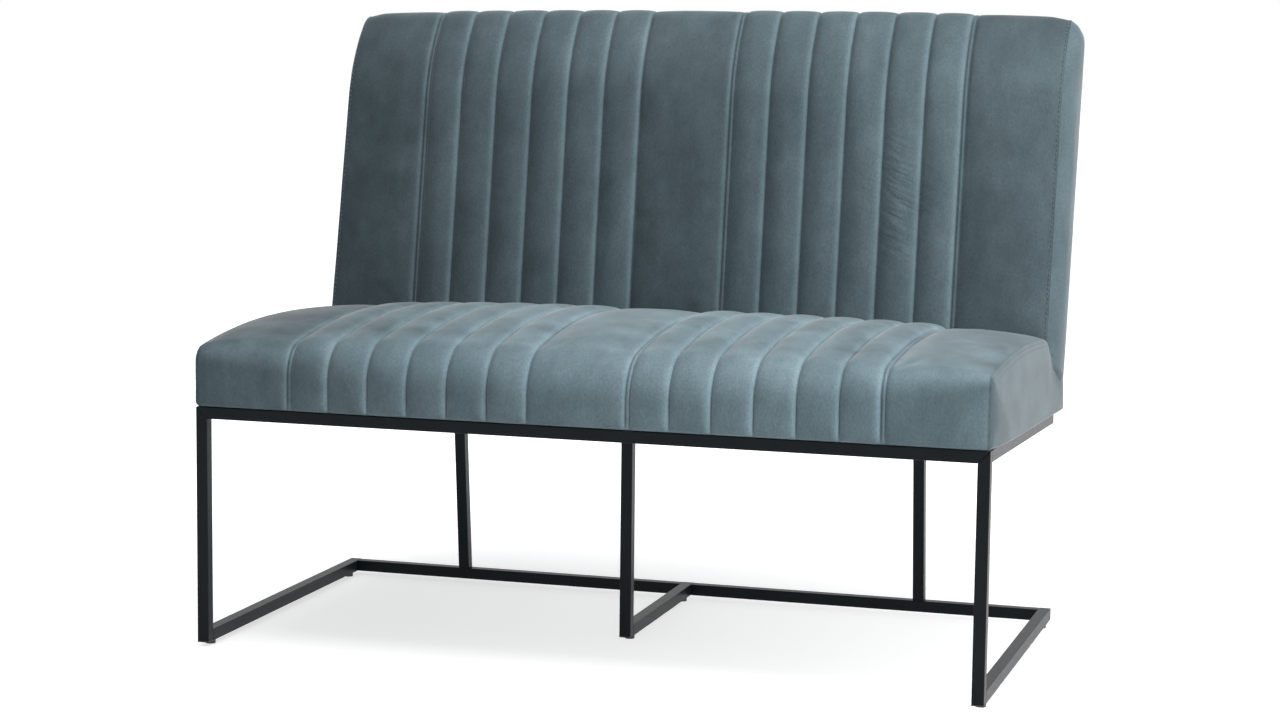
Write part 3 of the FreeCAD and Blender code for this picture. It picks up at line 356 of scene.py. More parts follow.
def smooth_noise(shape, cell, amount):
    """Seeded noise on a grid, smooth over about cell rows and columns."""
    rows, columns = shape
    short = 1.001  # just short of the last coarse row or column
    coarse = rng.normal(size=(rows // cell + 3, columns // cell + 3))
    r = np.linspace(0, coarse.shape[0] - short, rows)
    c = np.linspace(0, coarse.shape[1] - short, columns)
    r0, c0 = r.astype(int), c.astype(int)
    fr, fc = r - r0, c - c0
    fr, fc = fr * fr * (3 - 2 * fr), fc * fc * (3 - 2 * fc)
    top = coarse[r0][:, c0] * (1 - fc) + coarse[r0][:, c0 + 1] * fc
    low = coarse[r0 + 1][:, c0] * (1 - fc) + coarse[r0 + 1][:, c0 + 1] * fc
    return amount * (top * (1 - fr)[:, None] + low * fr[:, None])


FRAMES = 18  # of each cloth simulation


def pressed_out(moved, rows):
    """Moves of a grid of points with most of their short folds pressed out along the columns."""
    field = moved.reshape(rows, -1, 3)
    reach, width = 9, 3.5  # in rows
    kept = 0.25  # share of the folds that stays
    weights = np.exp(-0.5 * (np.arange(-reach, reach + 1) / width) ** 2)
    padded = np.pad(field, ((reach, reach), (0, 0), (0, 0)), mode="edge")
    calm = sum(weight * padded[step:step + rows] for step, weight in enumerate(weights / weights.sum()))
    return (kept * field + (1 - kept) * calm).reshape(-1, 3)


def puff_up(piece, held, pressure, cap, grow=0.0, rows=None):
    """Inflates the cloth between its held points, and applies the result with each move capped.

    The cloth first grows by the share grow. Where its rows are given, short folds are pressed out.
    """
    rest = np.array([v.co for v in piece.data.vertices])
    group = piece.vertex_groups.new(name="held")
    group.add(np.flatnonzero(held).tolist(), 1.0, "REPLACE")
    modifier = piece.modifiers.new("cloth", "CLOTH")
    cloth = modifier.settings
    cloth.quality = 5
    cloth.mass = 0.25
    cloth.tension_stiffness = 18
    cloth.compression_stiffness = 18
    cloth.shear_stiffness = 6
    cloth.bending_stiffness = 1.2
    cloth.air_damping = 2
    cloth.vertex_group_mass = "held"
    cloth.pin_stiffness = 1
    cloth.shrink_min = -grow
    cloth.use_pressure = True
    cloth.uniform_pressure_force = pressure
    cloth.effector_weights.gravity = 0
    modifier.collision_settings.use_collision = False
    modifier.point_cache.frame_start = 1
    modifier.point_cache.frame_end = FRAMES
    for step in range(1, FRAMES + 1):
        scene.frame_set(step)
    depsgraph = bpy.context.evaluated_depsgraph_get()
    swollen = piece.evaluated_get(depsgraph).to_mesh()
    moved = np.array([v.co for v in swollen.vertices]) - rest
    piece.evaluated_get(depsgraph).to_mesh_clear()
    if rows:
        moved = np.where(held[:, None], 0, pressed_out(moved, rows))
    length = np.linalg.norm(moved, axis=1)
    share = np.minimum(1, np.asarray(cap) * MM / np.maximum(length, TINY))
    piece.modifiers.remove(modifier)
    piece.vertex_groups.remove(group)
    piece.data.vertices.foreach_set("co", (rest + moved * share[:, None]).ravel())
    piece.data.update()
    scene.frame_set(1)


def crown(x):
    """Share of the change from the middle of the bench to its ends."""
    return (np.abs(x) / HALF_WIDTH) ** 3


def line(start, end, count):
    """Points from start towards end, without the end."""
    t = np.arange(count)[:, None] / count
    return np.asarray(start) * (1 - t) + np.asarray(end) * t


def arc(centre, radius, start, end, count):
    """Points on an arc from one angle towards another, without the end."""
    angle = start + (end - start) * np.arange(count) / count
    return np.stack([centre[0] + radius * np.cos(angle), centre[1] + radius * np.sin(angle)], -1)


def seat_outline(x):
    """Fold on the rail, front, front edge, crowned top and the roll into the crease at the back."""
    share = crown(x)
    crest = SEAT_CREST - (SEAT_CREST - SEAT_CREST_END) * share
    end_fall, end_sweep, end_edge = SEAT_ENDS[1 if x > 0 else -1]
    edge = EDGE_RADIUS - (EDGE_RADIUS - end_edge) * share
    sweep = SWEEP + (end_sweep - SWEEP) * share
    low = SEAT_TOP - end_fall * share - sweep
    edge_z = low + math.sqrt((sweep - edge) ** 2 - (crest - edge) ** 2)
    turn = math.atan2(edge_z - low, edge - crest)
    fold, hidden = 3.5, 9  # radius of the fold on the rail, and the cloth that it hides
    foot = RAIL_TOP + RAIL_GAP
    roll, drop = 12, 26  # radius of the roll into the crease, and the fall behind it
    rise = low + math.sqrt(sweep ** 2 - (SEAT_DEPTH - crest) ** 2) - SEAT_END_Z
    crease = BACK_Y - CHANNEL_PUFF - SOFT_GAP + BACK_SET * share + rise * math.tan(FOOT_LEAN)
    end = math.acos((crease - roll - crest) / (sweep - roll))
    hub = (crest + (sweep - roll) * math.cos(end), low + (sweep - roll) * math.sin(end))
    return np.concatenate([
        line((fold + hidden, foot), (fold, foot), 2),
        arc((fold, foot + fold), fold, -math.pi / 2, -math.pi, 4),
        line((0, foot + fold), (0, edge_z), 9),
        arc((edge, edge_z), edge, math.pi, turn, 20),
        arc((crest, low), sweep, turn, end, 80),
        arc(hub, roll, end, 0, 5),
        line((hub[0] + roll, hub[1]), (hub[0] + roll, hub[1] - drop), 4)])


FOOT_GAP = 1  # between the back's foot and the seat's shoulder


def back_front(share):
    """Top of the back, the fullest point of its front, its inward direction, and the hubs of its two arcs."""
    top = BACK_LENGTH - BACK_CROWN * share
    bow = BACK_BOW - (BACK_BOW - BACK_BOW_END) * share
    full = np.array([BACK_SET * share - bow, top - BACK_BOW_DROP])
    inward = np.array([full[1], bow]) / math.hypot(full[1], bow)
    hub = full + BACK_BOW_RADIUS * inward
    up = top - BACK_FRONT_RADIUS
    deep = hub[0] - math.sqrt((BACK_BOW_RADIUS - BACK_FRONT_RADIUS) ** 2 - (up - hub[1]) ** 2)
    return top, full, inward, hub, np.array([deep, up])


def back_foot(full, inward):
    """Where the straight part of the back's front meets the seat's shoulder, and its upward direction."""
    along = np.array([-inward[1], inward[0]])
    run = (full[1] + full[0] * BACK_CUT - FOOT_GAP) / (along[1] + along[0] * BACK_CUT)
    return full - along * run, along


def back_outline(x):
    """Foot, front, front edge, top, rear edge and hem of the back, in its own leaning frame."""
    top, full, inward, hub, edge = back_front(crown(x))
    foot, along = back_foot(full, inward)
    far = BACK_REAR_RADIUS
    hem = BACK_LENGTH - BACK_HEM
    fold, hidden = 5, 8  # radius of the fold at the foot, and the cloth that it hides
    turn_in, rise = 6, 1  # of the hem
    quarter = math.pi / 2
    turn = math.atan2(inward[1], inward[0])
    meet = math.atan2(edge[1] - hub[1], edge[0] - hub[0])
    lower = foot + along * fold
    return np.concatenate([
        line(foot + inward * (fold + hidden), foot + inward * fold, 2),
        arc(lower + inward * fold, fold, turn - quarter, turn - 2 * quarter, 3),
        line(lower, full, 65),
        arc(hub, BACK_BOW_RADIUS, turn + 2 * quarter, meet, 27),
        arc(edge, BACK_FRONT_RADIUS, meet, quarter, 10),
        line((edge[0], top), (BACK_THICKNESS - far, top), 11),
        arc((BACK_THICKNESS - far, top - far), far, quarter, 0, 8),
        line((BACK_THICKNESS, top - far), (BACK_THICKNESS, hem), 5),
        line((BACK_THICKNESS, hem), (BACK_THICKNESS - turn_in, hem + rise), 3)])


def outward(outline):
    """Outward directions along an outline."""
    along = np.gradient(outline, axis=0)
    along /= np.linalg.norm(along, axis=1)[:, None]
    return np.stack([-along[:, 1], along[:, 0]], -1)


def seat_points(x, flat):
    """Points of the bench from places in the seat's side view."""
    return np.stack([np.full(len(flat), x), FRONT + flat[:, 0], flat[:, 1]], -1)


def back_points(x, flat):
    """Points of the bench from places in the back's own leaning side view."""
    deep = flat[:, 0]
    up = flat[:, 1] * (1 + BACK_SKEW * x / HALF_WIDTH)
    y = FRONT + BACK_Y + deep * math.cos(BACK_LEAN) + up * math.sin(BACK_LEAN)
    z = BACK_Z - deep * math.sin(BACK_LEAN) + up * math.cos(BACK_LEAN)
    return np.stack([np.full(len(flat), x), y, z], -1)


def eased(shares, bunched):
    """Shares from 0 to 1, drawn together towards both ends by the part bunched."""
    return (1 - bunched) * shares + bunched * (0.5 - 0.5 * np.cos(math.pi * shares))


# Columns, swell and roundness of a plain strip and of a channel.
PLAIN_STRIP = (28, PLAIN_PUFF, 3.0)
CHANNEL_STRIP = (13, CHANNEL_PUFF, 2.6)
STRIP_BUNCHED = 0.45
STRIP_SHARP = 0.55


def strip_columns(left, right, count, puff, power):
    """Columns from one seam to the next: place and swell."""
    t = eased(np.arange(count + 1) / count, STRIP_BUNCHED)
    swell = np.maximum(0, 1 - np.abs(2 * t - 1) ** power) ** STRIP_SHARP
    return [(left + (right - left) * a, puff * s) for a, s in zip(t, swell)]


def cover_columns():
    """Columns of a cover from end to end: x, swell, and whether the column is sewn down."""
    borders = [-LAST_SEAM, -FIRST_SEAM, FIRST_SEAM, LAST_SEAM]
    seams = [-COVER_END]
    for start in (-LAST_SEAM, FIRST_SEAM):
        seams += [start + step * CHANNEL_WIDTH for step in range(CHANNELS + 1)]
    seams.append(COVER_END)
    columns = []
    for left, right in zip(seams, seams[1:]):
        plain = right - left > 1.5 * CHANNEL_WIDTH
        low = left + TWIN if left in borders else left
        high = right - TWIN if right in borders else right
        strip = strip_columns(low, high, *(PLAIN_STRIP if plain else CHANNEL_STRIP))
        for number, (x, swell) in enumerate(strip):
            sewn = number in (0, len(strip) - 1)
            seam = left if number == 0 else right
            if number == 0 and columns and left not in borders:
                continue
            if sewn and abs(abs(x) - COVER_END) < NEAR:
                swell = 0.0
            elif sewn:
                swell = GROOVE_DEPTH if seam in borders else SEAM_DEPTH
            columns.append((x, swell, sewn))
        if right in borders:
            columns.append((right, RIDGE, True))
    tucked = COVER_END + END_LAP
    return [(-tucked, -END_TUCK, True)] + columns + [(tucked, -END_TUCK, True)]


def store(piece, name, values):
    """Keeps a number at each point of a piece for its material."""
    attribute = piece.data.attributes.new(name, "FLOAT", "POINT")
    attribute.data.foreach_set("value", values.astype(float).ravel())


def band(value, middle, width):
    """One at the middle of a soft band, falling to nothing on both sides."""
    return np.exp(-((value - middle) / width) ** 2)


def seat_painted_light(x, share):
    """Painted light and shade, fine folds and strength of the patches on the seat, at places and shares of
    its outline.

    Painted light makes the front lighter, with a lighter band on it and a darker one behind its edge, and the
    ends darker, the left end most; the pile is rubbed into patches on the top.
    """
    side = x / HALF_WIDTH
    front = np.clip((0.36 - share) / 0.16, 0, 1)
    # Painted light: the front lighter, with a lighter band on it, and darker towards the ends.
    on_front = 0.42 + 0.52 * np.minimum(side, 0) + 0.10 * band(share, 0.2, 0.05)
    end_fall = np.where(side < 0, 0.88, 0.34)
    on_top = 0.22 - side ** 2 * end_fall - 0.08 * band(share, 0.33, 0.05)
    no_folds = np.zeros(np.broadcast(x, share).shape)
    return front * on_front + (1 - front) * on_top, no_folds, 0.17 - 0.09 * front


def back_painted_light(x, share):
    """The same for the back: painted shade makes it darker, less so towards the right and in the channels and
    more at the top right, with fine folds in its right-hand channels.
    """
    side = x / HALF_WIDTH
    upper = np.clip((share - 0.6) / 0.2, 0, 1)
    in_channels = (np.abs(x) > FIRST_SEAM) & (np.abs(x) < LAST_SEAM)
    # Painted shade: darker overall, less so towards the right and in the channels, and darker at the top
    # right.
    nap_and_painted_light = -0.41 + 0.09 * side + (0.07 - 0.36 * np.maximum(side, 0)) * upper
    nap_and_painted_light = nap_and_painted_light + (0.15 + 0.04 * side) * in_channels
    fifth = band(x, FIRST_SEAM + 4.4 * CHANNEL_WIDTH, 0.8 * CHANNEL_WIDTH) * (x < LAST_SEAM)
    return nap_and_painted_light, (0.12 + fifth) * band(share, 0.34, 0.13), 0.06


def crease_columns(piece, shape, sewn):
    """Keeps the sewn columns of a grid sharp when it is subdivided."""
    ends = np.zeros(2 * len(piece.data.edges), int)
    piece.data.edges.foreach_get("vertices", ends)
    places = ends.reshape(-1, 2) % shape[1]
    along = (places[:, 0] == places[:, 1]) & np.isin(places[:, 0], sewn)
    sharp = 0.85
    crease = piece.data.attributes.new("crease_edge", "FLOAT", "EDGE")
    crease.data.foreach_set("value", np.where(along, sharp, 0.0))


def cover_ease(rows, tuck, tail):
    """How freely each row of a cover swells: not at all in its folds, and less beside them."""
    ease = np.ones(rows)
    ease[:tuck] = 0
    ease[tuck:tuck + 4] = (0.3, 0.6, 0.8, 0.92)
    ease[rows - tail:] = 0
    ease[rows - tail - 3:rows - tail] = (0.85, 0.6, 0.3)
    return ease


def over_top(rows, top_rows):
    """One in the rows over the back's top, where the channels run out flat, with soft ends."""
    over = np.zeros(rows)
    if top_rows is None:
        return over
    soft = 6
    span = 2 * soft + 1
    over[top_rows[0]:top_rows[1]] = 1
    return np.convolve(np.pad(over, soft, mode="edge"), np.ones(span) / span, mode="valid")


def mark_cover(piece, columns, ease, over, painted_light_at):
    """Keeps the painted shade at the seams and ends, the painted light and shade with the pile's patches, and
    the fine folds of a cover for its material.
    """
    shade_right, shade_left, shade_end = 3.0, 1.0, 1.5  # reach of the painted shade at seams and ends
    light, light_place, light_reach = 0.34, 2.5, 4.0  # painted highlight on the left of a seam, where a channel turns towards the light
    dark, dark_reach = 0.10, 9  # painted shade on its right
    places = np.array([x for x, *_ in columns])
    seams = places[[sewn and swell in (SEAM_DEPTH, GROOVE_DEPTH) for _, swell, sewn in columns]]
    past = places[:, None] - seams[None]
    after = np.where(past >= 0, past, np.inf).min(1)
    before = np.where(past <= 0, -past, np.inf).min(1)
    valley = np.maximum(np.exp(-after / shade_right), np.exp(-before / shade_left))
    ends = np.exp(-np.maximum(0, COVER_END - np.abs(places)) / shade_end)
    over = over[:, None]
    store(piece, "valley", np.maximum(valley * (1 - 0.5 * over) * ease[:, None], 0.9 * ends))
    # Painted highlight just left of each seam and painted shade just right of it.
    painted_light_and_shade = light * band(before, light_place, light_reach) - dark * np.exp(-after / dark_reach)
    shape = (len(ease), len(places))
    nap_and_painted_light, folds, patches = painted_light_at(places[None, :], np.linspace(0, 1, len(ease))[:, None])
    marks = smooth_noise(shape, 8, 0.55) + smooth_noise(shape, 3, 0.35)
    store(piece, "nap_and_painted_light", nap_and_painted_light + painted_light_and_shade * (1 - 0.4 * over) + patches * marks)
    store(piece, "wrinkle", folds)


def build_cover(name, outline, to_points, tuck, tail, top_rows, painted_light_at):
    """One continuous channelled cover with its seams sewn down, inflated by simulation."""
    end_reach = 30  # over which the cover's top sinks to its ends
    top_lift, top_swell = 5.6, 0.2  # level of the cover over the back's top, and share of the swell there
    cap, top_cap = 3.0, 2.2  # the most that the simulation moves the cloth, and what the top takes off it
    columns = cover_columns()
    flat = [outline(x) for x, *_ in columns]
    rows = len(flat[0])
    ease = cover_ease(rows, tuck, tail)
    over = over_top(rows, top_rows)
    shape = np.zeros((rows, len(columns), 3))
    for column, ((x, swell, _), points) in enumerate(zip(columns, flat)):
        near_end = np.clip((COVER_END - abs(x)) / end_reach, 0, 1)
        lift = swell * ease * (1 - over) + over * ease * near_end * (top_lift + top_swell * swell)
        if abs(x) > COVER_END:
            lift = np.full(rows, swell)
        shape[:, column] = to_points(x, points + outward(points) * lift[:, None])
    sewn = np.array([column[2] for column in columns])
    held = np.zeros(shape.shape[:2], bool)
    held[:, sewn] = True
    held[:tuck] = True
    held[rows - tail:] = True
    wobble = smooth_noise(held.shape, 9, 0.16) + smooth_noise(held.shape, 3, 0.03)
    shape += np.where(held, 0, wobble)[..., None] * grid_normals(shape)
    piece = new_piece(f"{name}_cover", shape.reshape(-1, 3), grid_faces(*held.shape))
    caps = np.broadcast_to((cap - top_cap * over)[:, None], held.shape)
    puff_up(piece, held.ravel(), 3.0, caps.ravel(), rows=rows)
    crease_columns(piece, held.shape, np.flatnonzero(sewn))
    mark_cover(piece, columns, ease, over, painted_light_at)
    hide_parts(*[f"{name}_{part}" for part in COVER_PARTS])
    final = np.array([v.co for v in piece.data.vertices]).reshape(shape.shape) / MM
    subdivide(piece)
    return columns, final


COVER_PARTS = ("left_panel", "centre_panel", "right_panel", "left_channels", "right_channels")
columns, seat_grid = build_cover("seat", seat_outline, seat_points, SEAT_TUCK, SEAT_ROLL, None, seat_painted_light)
columns, back_grid = build_cover("back", back_outline, back_points, BACK_TUCK, BACK_TAIL, BACK_TOP_ROWS,
                                 back_painted_light)


# Side boxings

def seat_plane(y):
    """Height of the sloping rails' top at a distance behind the frame's front face."""
    return RAIL_TOP - (y - TUBE) * math.tan(SEAT_SLOPE)


def shoulder_outline():
    """Fall of the seat under the back and its rear face, from the top down."""
    corner_z = SEAT_END_Z - (SEAT_REAR - SEAT_DEPTH) * math.tan(SHOULDER_ANGLE)
    run = SHOULDER_RADIUS * math.tan((math.pi / 2 - SHOULDER_ANGLE) / 2)
    hub = (SEAT_REAR - SHOULDER_RADIUS, corner_z - run)
    lean = math.pi / 2 - SHOULDER_ANGLE
    joint = (hub[0] + SHOULDER_RADIUS * math.cos(lean), hub[1] + SHOULDER_RADIUS * math.sin(lean))
    return np.concatenate([line((SEAT_DEPTH, SEAT_END_Z), joint, 14),
                           arc(hub, SHOULDER_RADIUS, lean, 0, 10),
                           line((SEAT_REAR, hub[1]), (SEAT_REAR, seat_plane(SEAT_REAR)), 5)])


def distance_to(points, border):
    """Distance of each point to a border of straight pieces."""
    best = np.full(len(points), 1e9)
    for a, b in zip(border, border[1:]):
        run = b - a
        t = np.clip(((points - a) @ run) / max(run @ run, TINY), 0, 1)
        best = np.minimum(best, np.linalg.norm(points - (a + t[:, None] * run), axis=1))
    return best


def build_boxing(name, sign, border, free, flat, to_points, rise, painted_shade):
    """A soft side panel over a grid of flat places.

    It rises from its sewn border, at once by rise[0] and then softly by rise[1] over about rise[2], and
    turns in at its free edge.
    """
    at_once, sewn_reach = 2.5, 4  # reach of the first rise, and of the part that is held at the border
    turn_in, turn_reach = 4.0, 5
    near = distance_to(flat.reshape(-1, 2), border)
    turned = distance_to(flat.reshape(-1, 2), free)
    height = rise[0] * (1 - np.exp(-near / at_once)) + rise[1] * (1 - np.exp(-near / rise[2]))
    height -= turn_in * np.clip(1 - turned / turn_reach, 0, 1) ** 2
    held = (near < sewn_reach) | (turned < turn_reach)
    height += np.where(held, 0, smooth_noise(flat.shape[:2], 8, 0.12).ravel())
    points = to_points(sign * COVER_END, flat.reshape(-1, 2))
    points[:, 0] = sign * (COVER_END + height)
    piece = new_piece(f"{name}_cover", points, grid_faces(*flat.shape[:2], flip=sign < 0))
    puff_up(piece, held, 2.0, 0.6)
    # Painted shade on the boxings, with a little random tone.
    store(piece, "nap_and_painted_light", smooth_noise(flat.shape[:2], 8, 0.05) + painted_shade)
    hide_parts(name)
    subdivide(piece)
    return piece


SIDES = (("left", -1), ("right", 1))
SEAT_RISES = {"left": (7, 9, 45), "right": (4, 12, 60)}
BACK_RISES = {"left": (0.5, 10, 13), "right": (0.5, 20, 13)}
SEAT_BOXING_SHADE = -0.28  # painted shade on the seat's boxings
BACK_BOXING_SHADE = -0.20
CREASE_REACH = 12  # the seat's boxings are sewn down this far past the crease
BOXING_BUNCHED = 0.4
BOXING_TUCK = 26  # the back's boxings run this far down inside the seat's boxings


def heights_at(border, places):
    """Heights of a border at places along it."""
    order = np.argsort(border[:, 0], kind="stable")
    return np.interp(places, border[order, 0], border[order, 1])


def seat_side(sign):
    """Border of one of the seat's sides, from the front's foot over the top to the rear's foot."""
    top = seat_outline(sign * COVER_END)
    top = top[SEAT_TUCK + 1:len(top) - SEAT_DROP]
    top[0] = (0, RAIL_TOP + RAIL_GAP)
    under = shoulder_outline()
    clear = 4  # between the roll and the shoulder's first point
    return np.concatenate([top, under[under[:, 0] > top[-1, 0] + clear]])


def build_seat_boxing(name, sign):
    border = seat_side(sign)
    places = SEAT_REAR * eased(np.linspace(0, 1, 97), 1)
    low = seat_plane(places) + RAIL_GAP
    high = heights_at(border, places)
    high[0] = border[border[:, 0] <= NEAR][:, 1].max()
    high[-1] = border[border[:, 0] >= SEAT_REAR - NEAR][:, 1].max()
    foot = np.array([(SEAT_REAR, low[-1]), (0, low[0])])
    crease = SEAT_DEPTH + CREASE_REACH
    sewn = border[border[:, 0] <= crease]
    free = np.concatenate([border[border[:, 0] > crease], foot])
    flat = np.array([np.stack([places, low + (high - low) * share], -1)
                     for share in eased(np.linspace(0, 1, 26), BOXING_BUNCHED)])
    return build_boxing(f"seat_{name}_boxing", sign, sewn, free, flat, seat_points, SEAT_RISES[name],
                        SEAT_BOXING_SHADE)


def back_side():
    """Border of the back's side: up the front, over the top and down the rear."""
    outline = back_outline(COVER_END)
    border = outline[BACK_TUCK + 1:len(outline) - BACK_TAIL]
    _, full, inward, *_ = back_front(crown(COVER_END))
    border[0] = back_foot(full, inward)[0]
    return np.concatenate([border, [(BACK_THICKNESS, FOOT_GAP - BACK_THICKNESS * BACK_CUT)]])


def along_route(route, shares):
    """Points at shares of the length of a route."""
    run = np.concatenate([[0], np.cumsum(np.linalg.norm(np.diff(route, axis=0), axis=1))])
    return np.stack([np.interp(shares * run[-1], run, route[:, k]) for k in (0, 1)], -1)


def build_back_boxings():
    border = back_side()
    peak = border[:, 1].max()
    flat_top = np.flatnonzero(border[:, 1] > peak - NEAR)
    down = np.array([0, -BOXING_TUCK])
    front = np.concatenate([[border[0] + down], border[:flat_top[0] + 1]])
    rear = np.concatenate([[border[-1] + down], border[:flat_top[-1] - 1:-1]])
    shares = eased(np.linspace(0, 1, 108), BOXING_BUNCHED)
    front_line, rear_line = along_route(front, shares), along_route(rear, shares)
    across = eased(np.linspace(0, 1, 29), 1)[None, :, None]
    flat = front_line[:, None] * (1 - across) + rear_line[:, None] * across
    free = np.array([rear[0], front[0]])
    sewn = np.concatenate([front, border[flat_top[0]:flat_top[-1]], rear[::-1]])
    for name, sign in SIDES:
        build_boxing(f"back_{name}_boxing", sign, sewn, free, flat, back_points, BACK_RISES[name], BACK_BOXING_SHADE)


seat_boxings = [build_seat_boxing(name, sign) for name, sign in SIDES]
build_back_boxings()


# Rear of the bench

def build_outside_back():
    """Plain outside back: a taut panel hung from the hem, with a soft swell."""
    margin = 4  # width of the held edge, and the reach below the back's foot
    fullness, rise, side_rise = 3.5, 60, 90
    inset, turn_in = 2, 3
    foot = -margin - BACK_THICKNESS * BACK_CUT
    head = BACK_LENGTH - BACK_HEM - 1
    x = np.linspace(-COVER_END, COVER_END, 120)
    up = np.concatenate([[foot], foot + margin + (head - foot - 2 * margin) * np.linspace(0, 1, 50), [head]])
    shape = np.zeros((len(up), len(x), 3))
    held = np.ones(shape.shape[:2], bool)
    held[2:-2, 2:-2] = False
    swell = fullness * np.minimum(1, np.minimum(up - foot, head - up)[:, None] / rise)
    swell = swell * np.minimum(1, (COVER_END - np.abs(x))[None] / side_rise)
    swell = 1 + np.where(held, 0, swell + smooth_noise(held.shape, 6, 0.4))
    swell[[0, -1]] = -turn_in
    for column, place in enumerate(x):
        flat = np.stack([BACK_THICKNESS - inset + swell[:, column], up], -1)
        shape[:, column] = back_points(place, flat)
    piece = new_piece("outside_back_cover", shape.reshape(-1, 3), grid_faces(*held.shape, flip=True))
    puff_up(piece, held.ravel(), 1.0, 2.0, 0.01)
    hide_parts("outside_back_panel")
    subdivide(piece)


def build_rear_band():
    """Rear band of the seat: under the back and down to the rear seat rail."""
    lap = 11  # into the turned-in rear edges of the boxings
    outline = shoulder_outline()[3:]
    reach = COVER_END + lap
    x = np.linspace(-reach, reach, 120)
    shape = np.stack([seat_points(place, outline) for place in x], 1)
    held = np.ones(shape.shape[:2], bool)
    held[3:-3, 2:-2] = False
    shape[..., 1] += np.where(held, 0, smooth_noise(held.shape, 5, 0.3))
    piece = new_piece("seat_rear_band_cover", shape.reshape(-1, 3), grid_faces(*held.shape))
    puff_up(piece, held.ravel(), 1.0, 1.5, 0.01)
    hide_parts("seat_rear_band")
    subdivide(piece)


build_outside_back()
build_rear_band()


# Fillings

def closed_pad(name, sections):
    """A foam pad from its section at each place along the bench."""
    rows, count = len(sections), len(sections[0])
    faces = []
    for row in range(rows - 1):
        for step in range(count):
            a, b = row * count + step, row * count + (step + 1) % count
            faces.append((a, b, b + count, a + count))
    faces.append(tuple(range(count)))
    faces.append(tuple(reversed(range((rows - 1) * count, rows * count))))
    piece = new_piece(f"{name}_pad", np.concatenate(sections), faces, "foam")
    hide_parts(name)


def build_foams():
    """Foam under the covers, a little inside the space that its solid holds."""
    inset, end_gap, crease_gap = 15.5, 16, 14  # below the covers, inside the end seams and before the crease
    floor = 53  # height of the seat foam's underside above the rails
    back_depth, rear_drop, lift = 49, 6, 8  # of the back foam
    front = back_outline(COVER_END)[BACK_TUCK + 1:BACK_TUCK + 1 + BACK_FRONT_ROWS]
    front = (front - outward(front) * inset)[::6]
    rear = np.stack([np.full(len(front), BACK_SET + back_depth), front[::-1, 1] - rear_drop], -1)
    back_section = np.concatenate([front, rear]) + np.array([0, lift])
    seat_sections, back_sections = [], []
    for x in np.linspace(-COVER_END + end_gap, COVER_END - end_gap, 25):
        outline = seat_outline(x)
        upper = outline[SEAT_TUCK + 1:len(outline) - SEAT_ROLL]
        inner = upper - outward(upper) * inset
        inner = inner[(inner[:, 0] < SEAT_DEPTH - crease_gap) & (inner[:, 1] > seat_plane(inset) + floor)]
        inner = along_route(inner, np.linspace(0, 1, 28))
        foot = [(y, seat_plane(y) + floor) for y in (inner[-1, 0], inner[0, 0])]
        seat_sections.append(seat_points(x, np.concatenate([inner, foot])))
        back_sections.append(back_points(x, back_section))
    closed_pad("seat_foam", seat_sections)
    closed_pad("back_foam", back_sections)


build_foams()


# Stitches

def stitch_row(points, normals, pitch, length, radius, sink):
    """Small rounded stitches along a line on the cloth, as points and faces."""
    steps = np.linalg.norm(np.diff(points, axis=0), axis=1)
    run = np.concatenate([[0], np.cumsum(steps)])
    places = np.arange(pitch, run[-1] - pitch, pitch)
    sides = 6
    rings = ((-0.5, 0.3), (-0.36, 0.85), (0, 1.05), (0.36, 0.85), (0.5, 0.3))  # place and thickness
    look_ahead, bedded = 0.5, 0.6
    verts, faces = [], []
    for place in places:
        centre = np.array([np.interp(place, run, points[:, k]) for k in range(3)])
        up = np.array([np.interp(place, run, normals[:, k]) for k in range(3)])
        ahead = np.array([np.interp(place + look_ahead, run, points[:, k]) for k in range(3)]) - centre
        ahead /= np.linalg.norm(ahead)
        up -= ahead * (up @ ahead)
        up /= np.linalg.norm(up)
        side = np.cross(ahead, up)
        base = len(verts)
        for share, thick in rings:
            hub = centre + ahead * share * length + up * (radius * (thick - bedded) - sink)
            for corner in range(sides):
                angle = 2 * math.pi * corner / sides
                verts.append(hub + radius * thick * (side * math.cos(angle) + up * math.sin(angle)))
        for ring in range(len(rings) - 1):
            for corner in range(sides):
                a = base + ring * sides + corner
                b = base + ring * sides + (corner + 1) % sides
                faces.append((a, b, b + sides, a + sides))
        faces.append(tuple(base + k for k in reversed(range(sides))))
        faces.append(tuple(base + (len(rings) - 1) * sides + k for k in range(sides)))
    return verts, faces


def stitches(name, rows, pitch, length, radius, sink=0.35):
    """One piece with a row of stitches along each of the rows' points and normals."""
    verts, faces = [], []
    for points, normals in rows:
        row_verts, row_faces = stitch_row(points, normals, pitch, length, radius, sink)
        faces += [tuple(index + len(verts) for index in face) for face in row_faces]
        verts += row_verts
    new_piece(name, verts, faces, "velvet", THREAD)


def column_stitches(name, grid, places, tuck, tail, sizes):
    """Rows of stitches along some columns of a cover, without its folds."""
    normal = grid_normals(grid)
    body = slice(tuck + 1, grid.shape[0] - tail)
    stitches(name, [(grid[body, column], normal[body, column]) for column in places], *sizes)


def boxing_stitches(name, piece, sign, border, to_points, insets, sizes):
    """Rows of stitches on a boxing at set distances inside its seam."""
    outside = 0.7  # in metres from the middle of the bench
    tree = BVHTree.FromObject(piece, bpy.context.evaluated_depsgraph_get())
    rows = []
    for inset in insets:
        inner = border - outward(border) * inset
        found, normals = [], []
        for spot in to_points(sign * COVER_END, inner):
            start = Vector((sign * outside, spot[1] * MM, spot[2] * MM))
            hit, normal, *_ = tree.ray_cast(start, Vector((-sign, 0, 0)))
            if hit is not None:
                found.append(np.array(hit) / MM)
                normals.append(np.array(normal) * (1 if normal.x * sign > 0 else -1))
        rows.append((np.array(found), np.array(normals)))
    stitches(name, rows, *sizes)


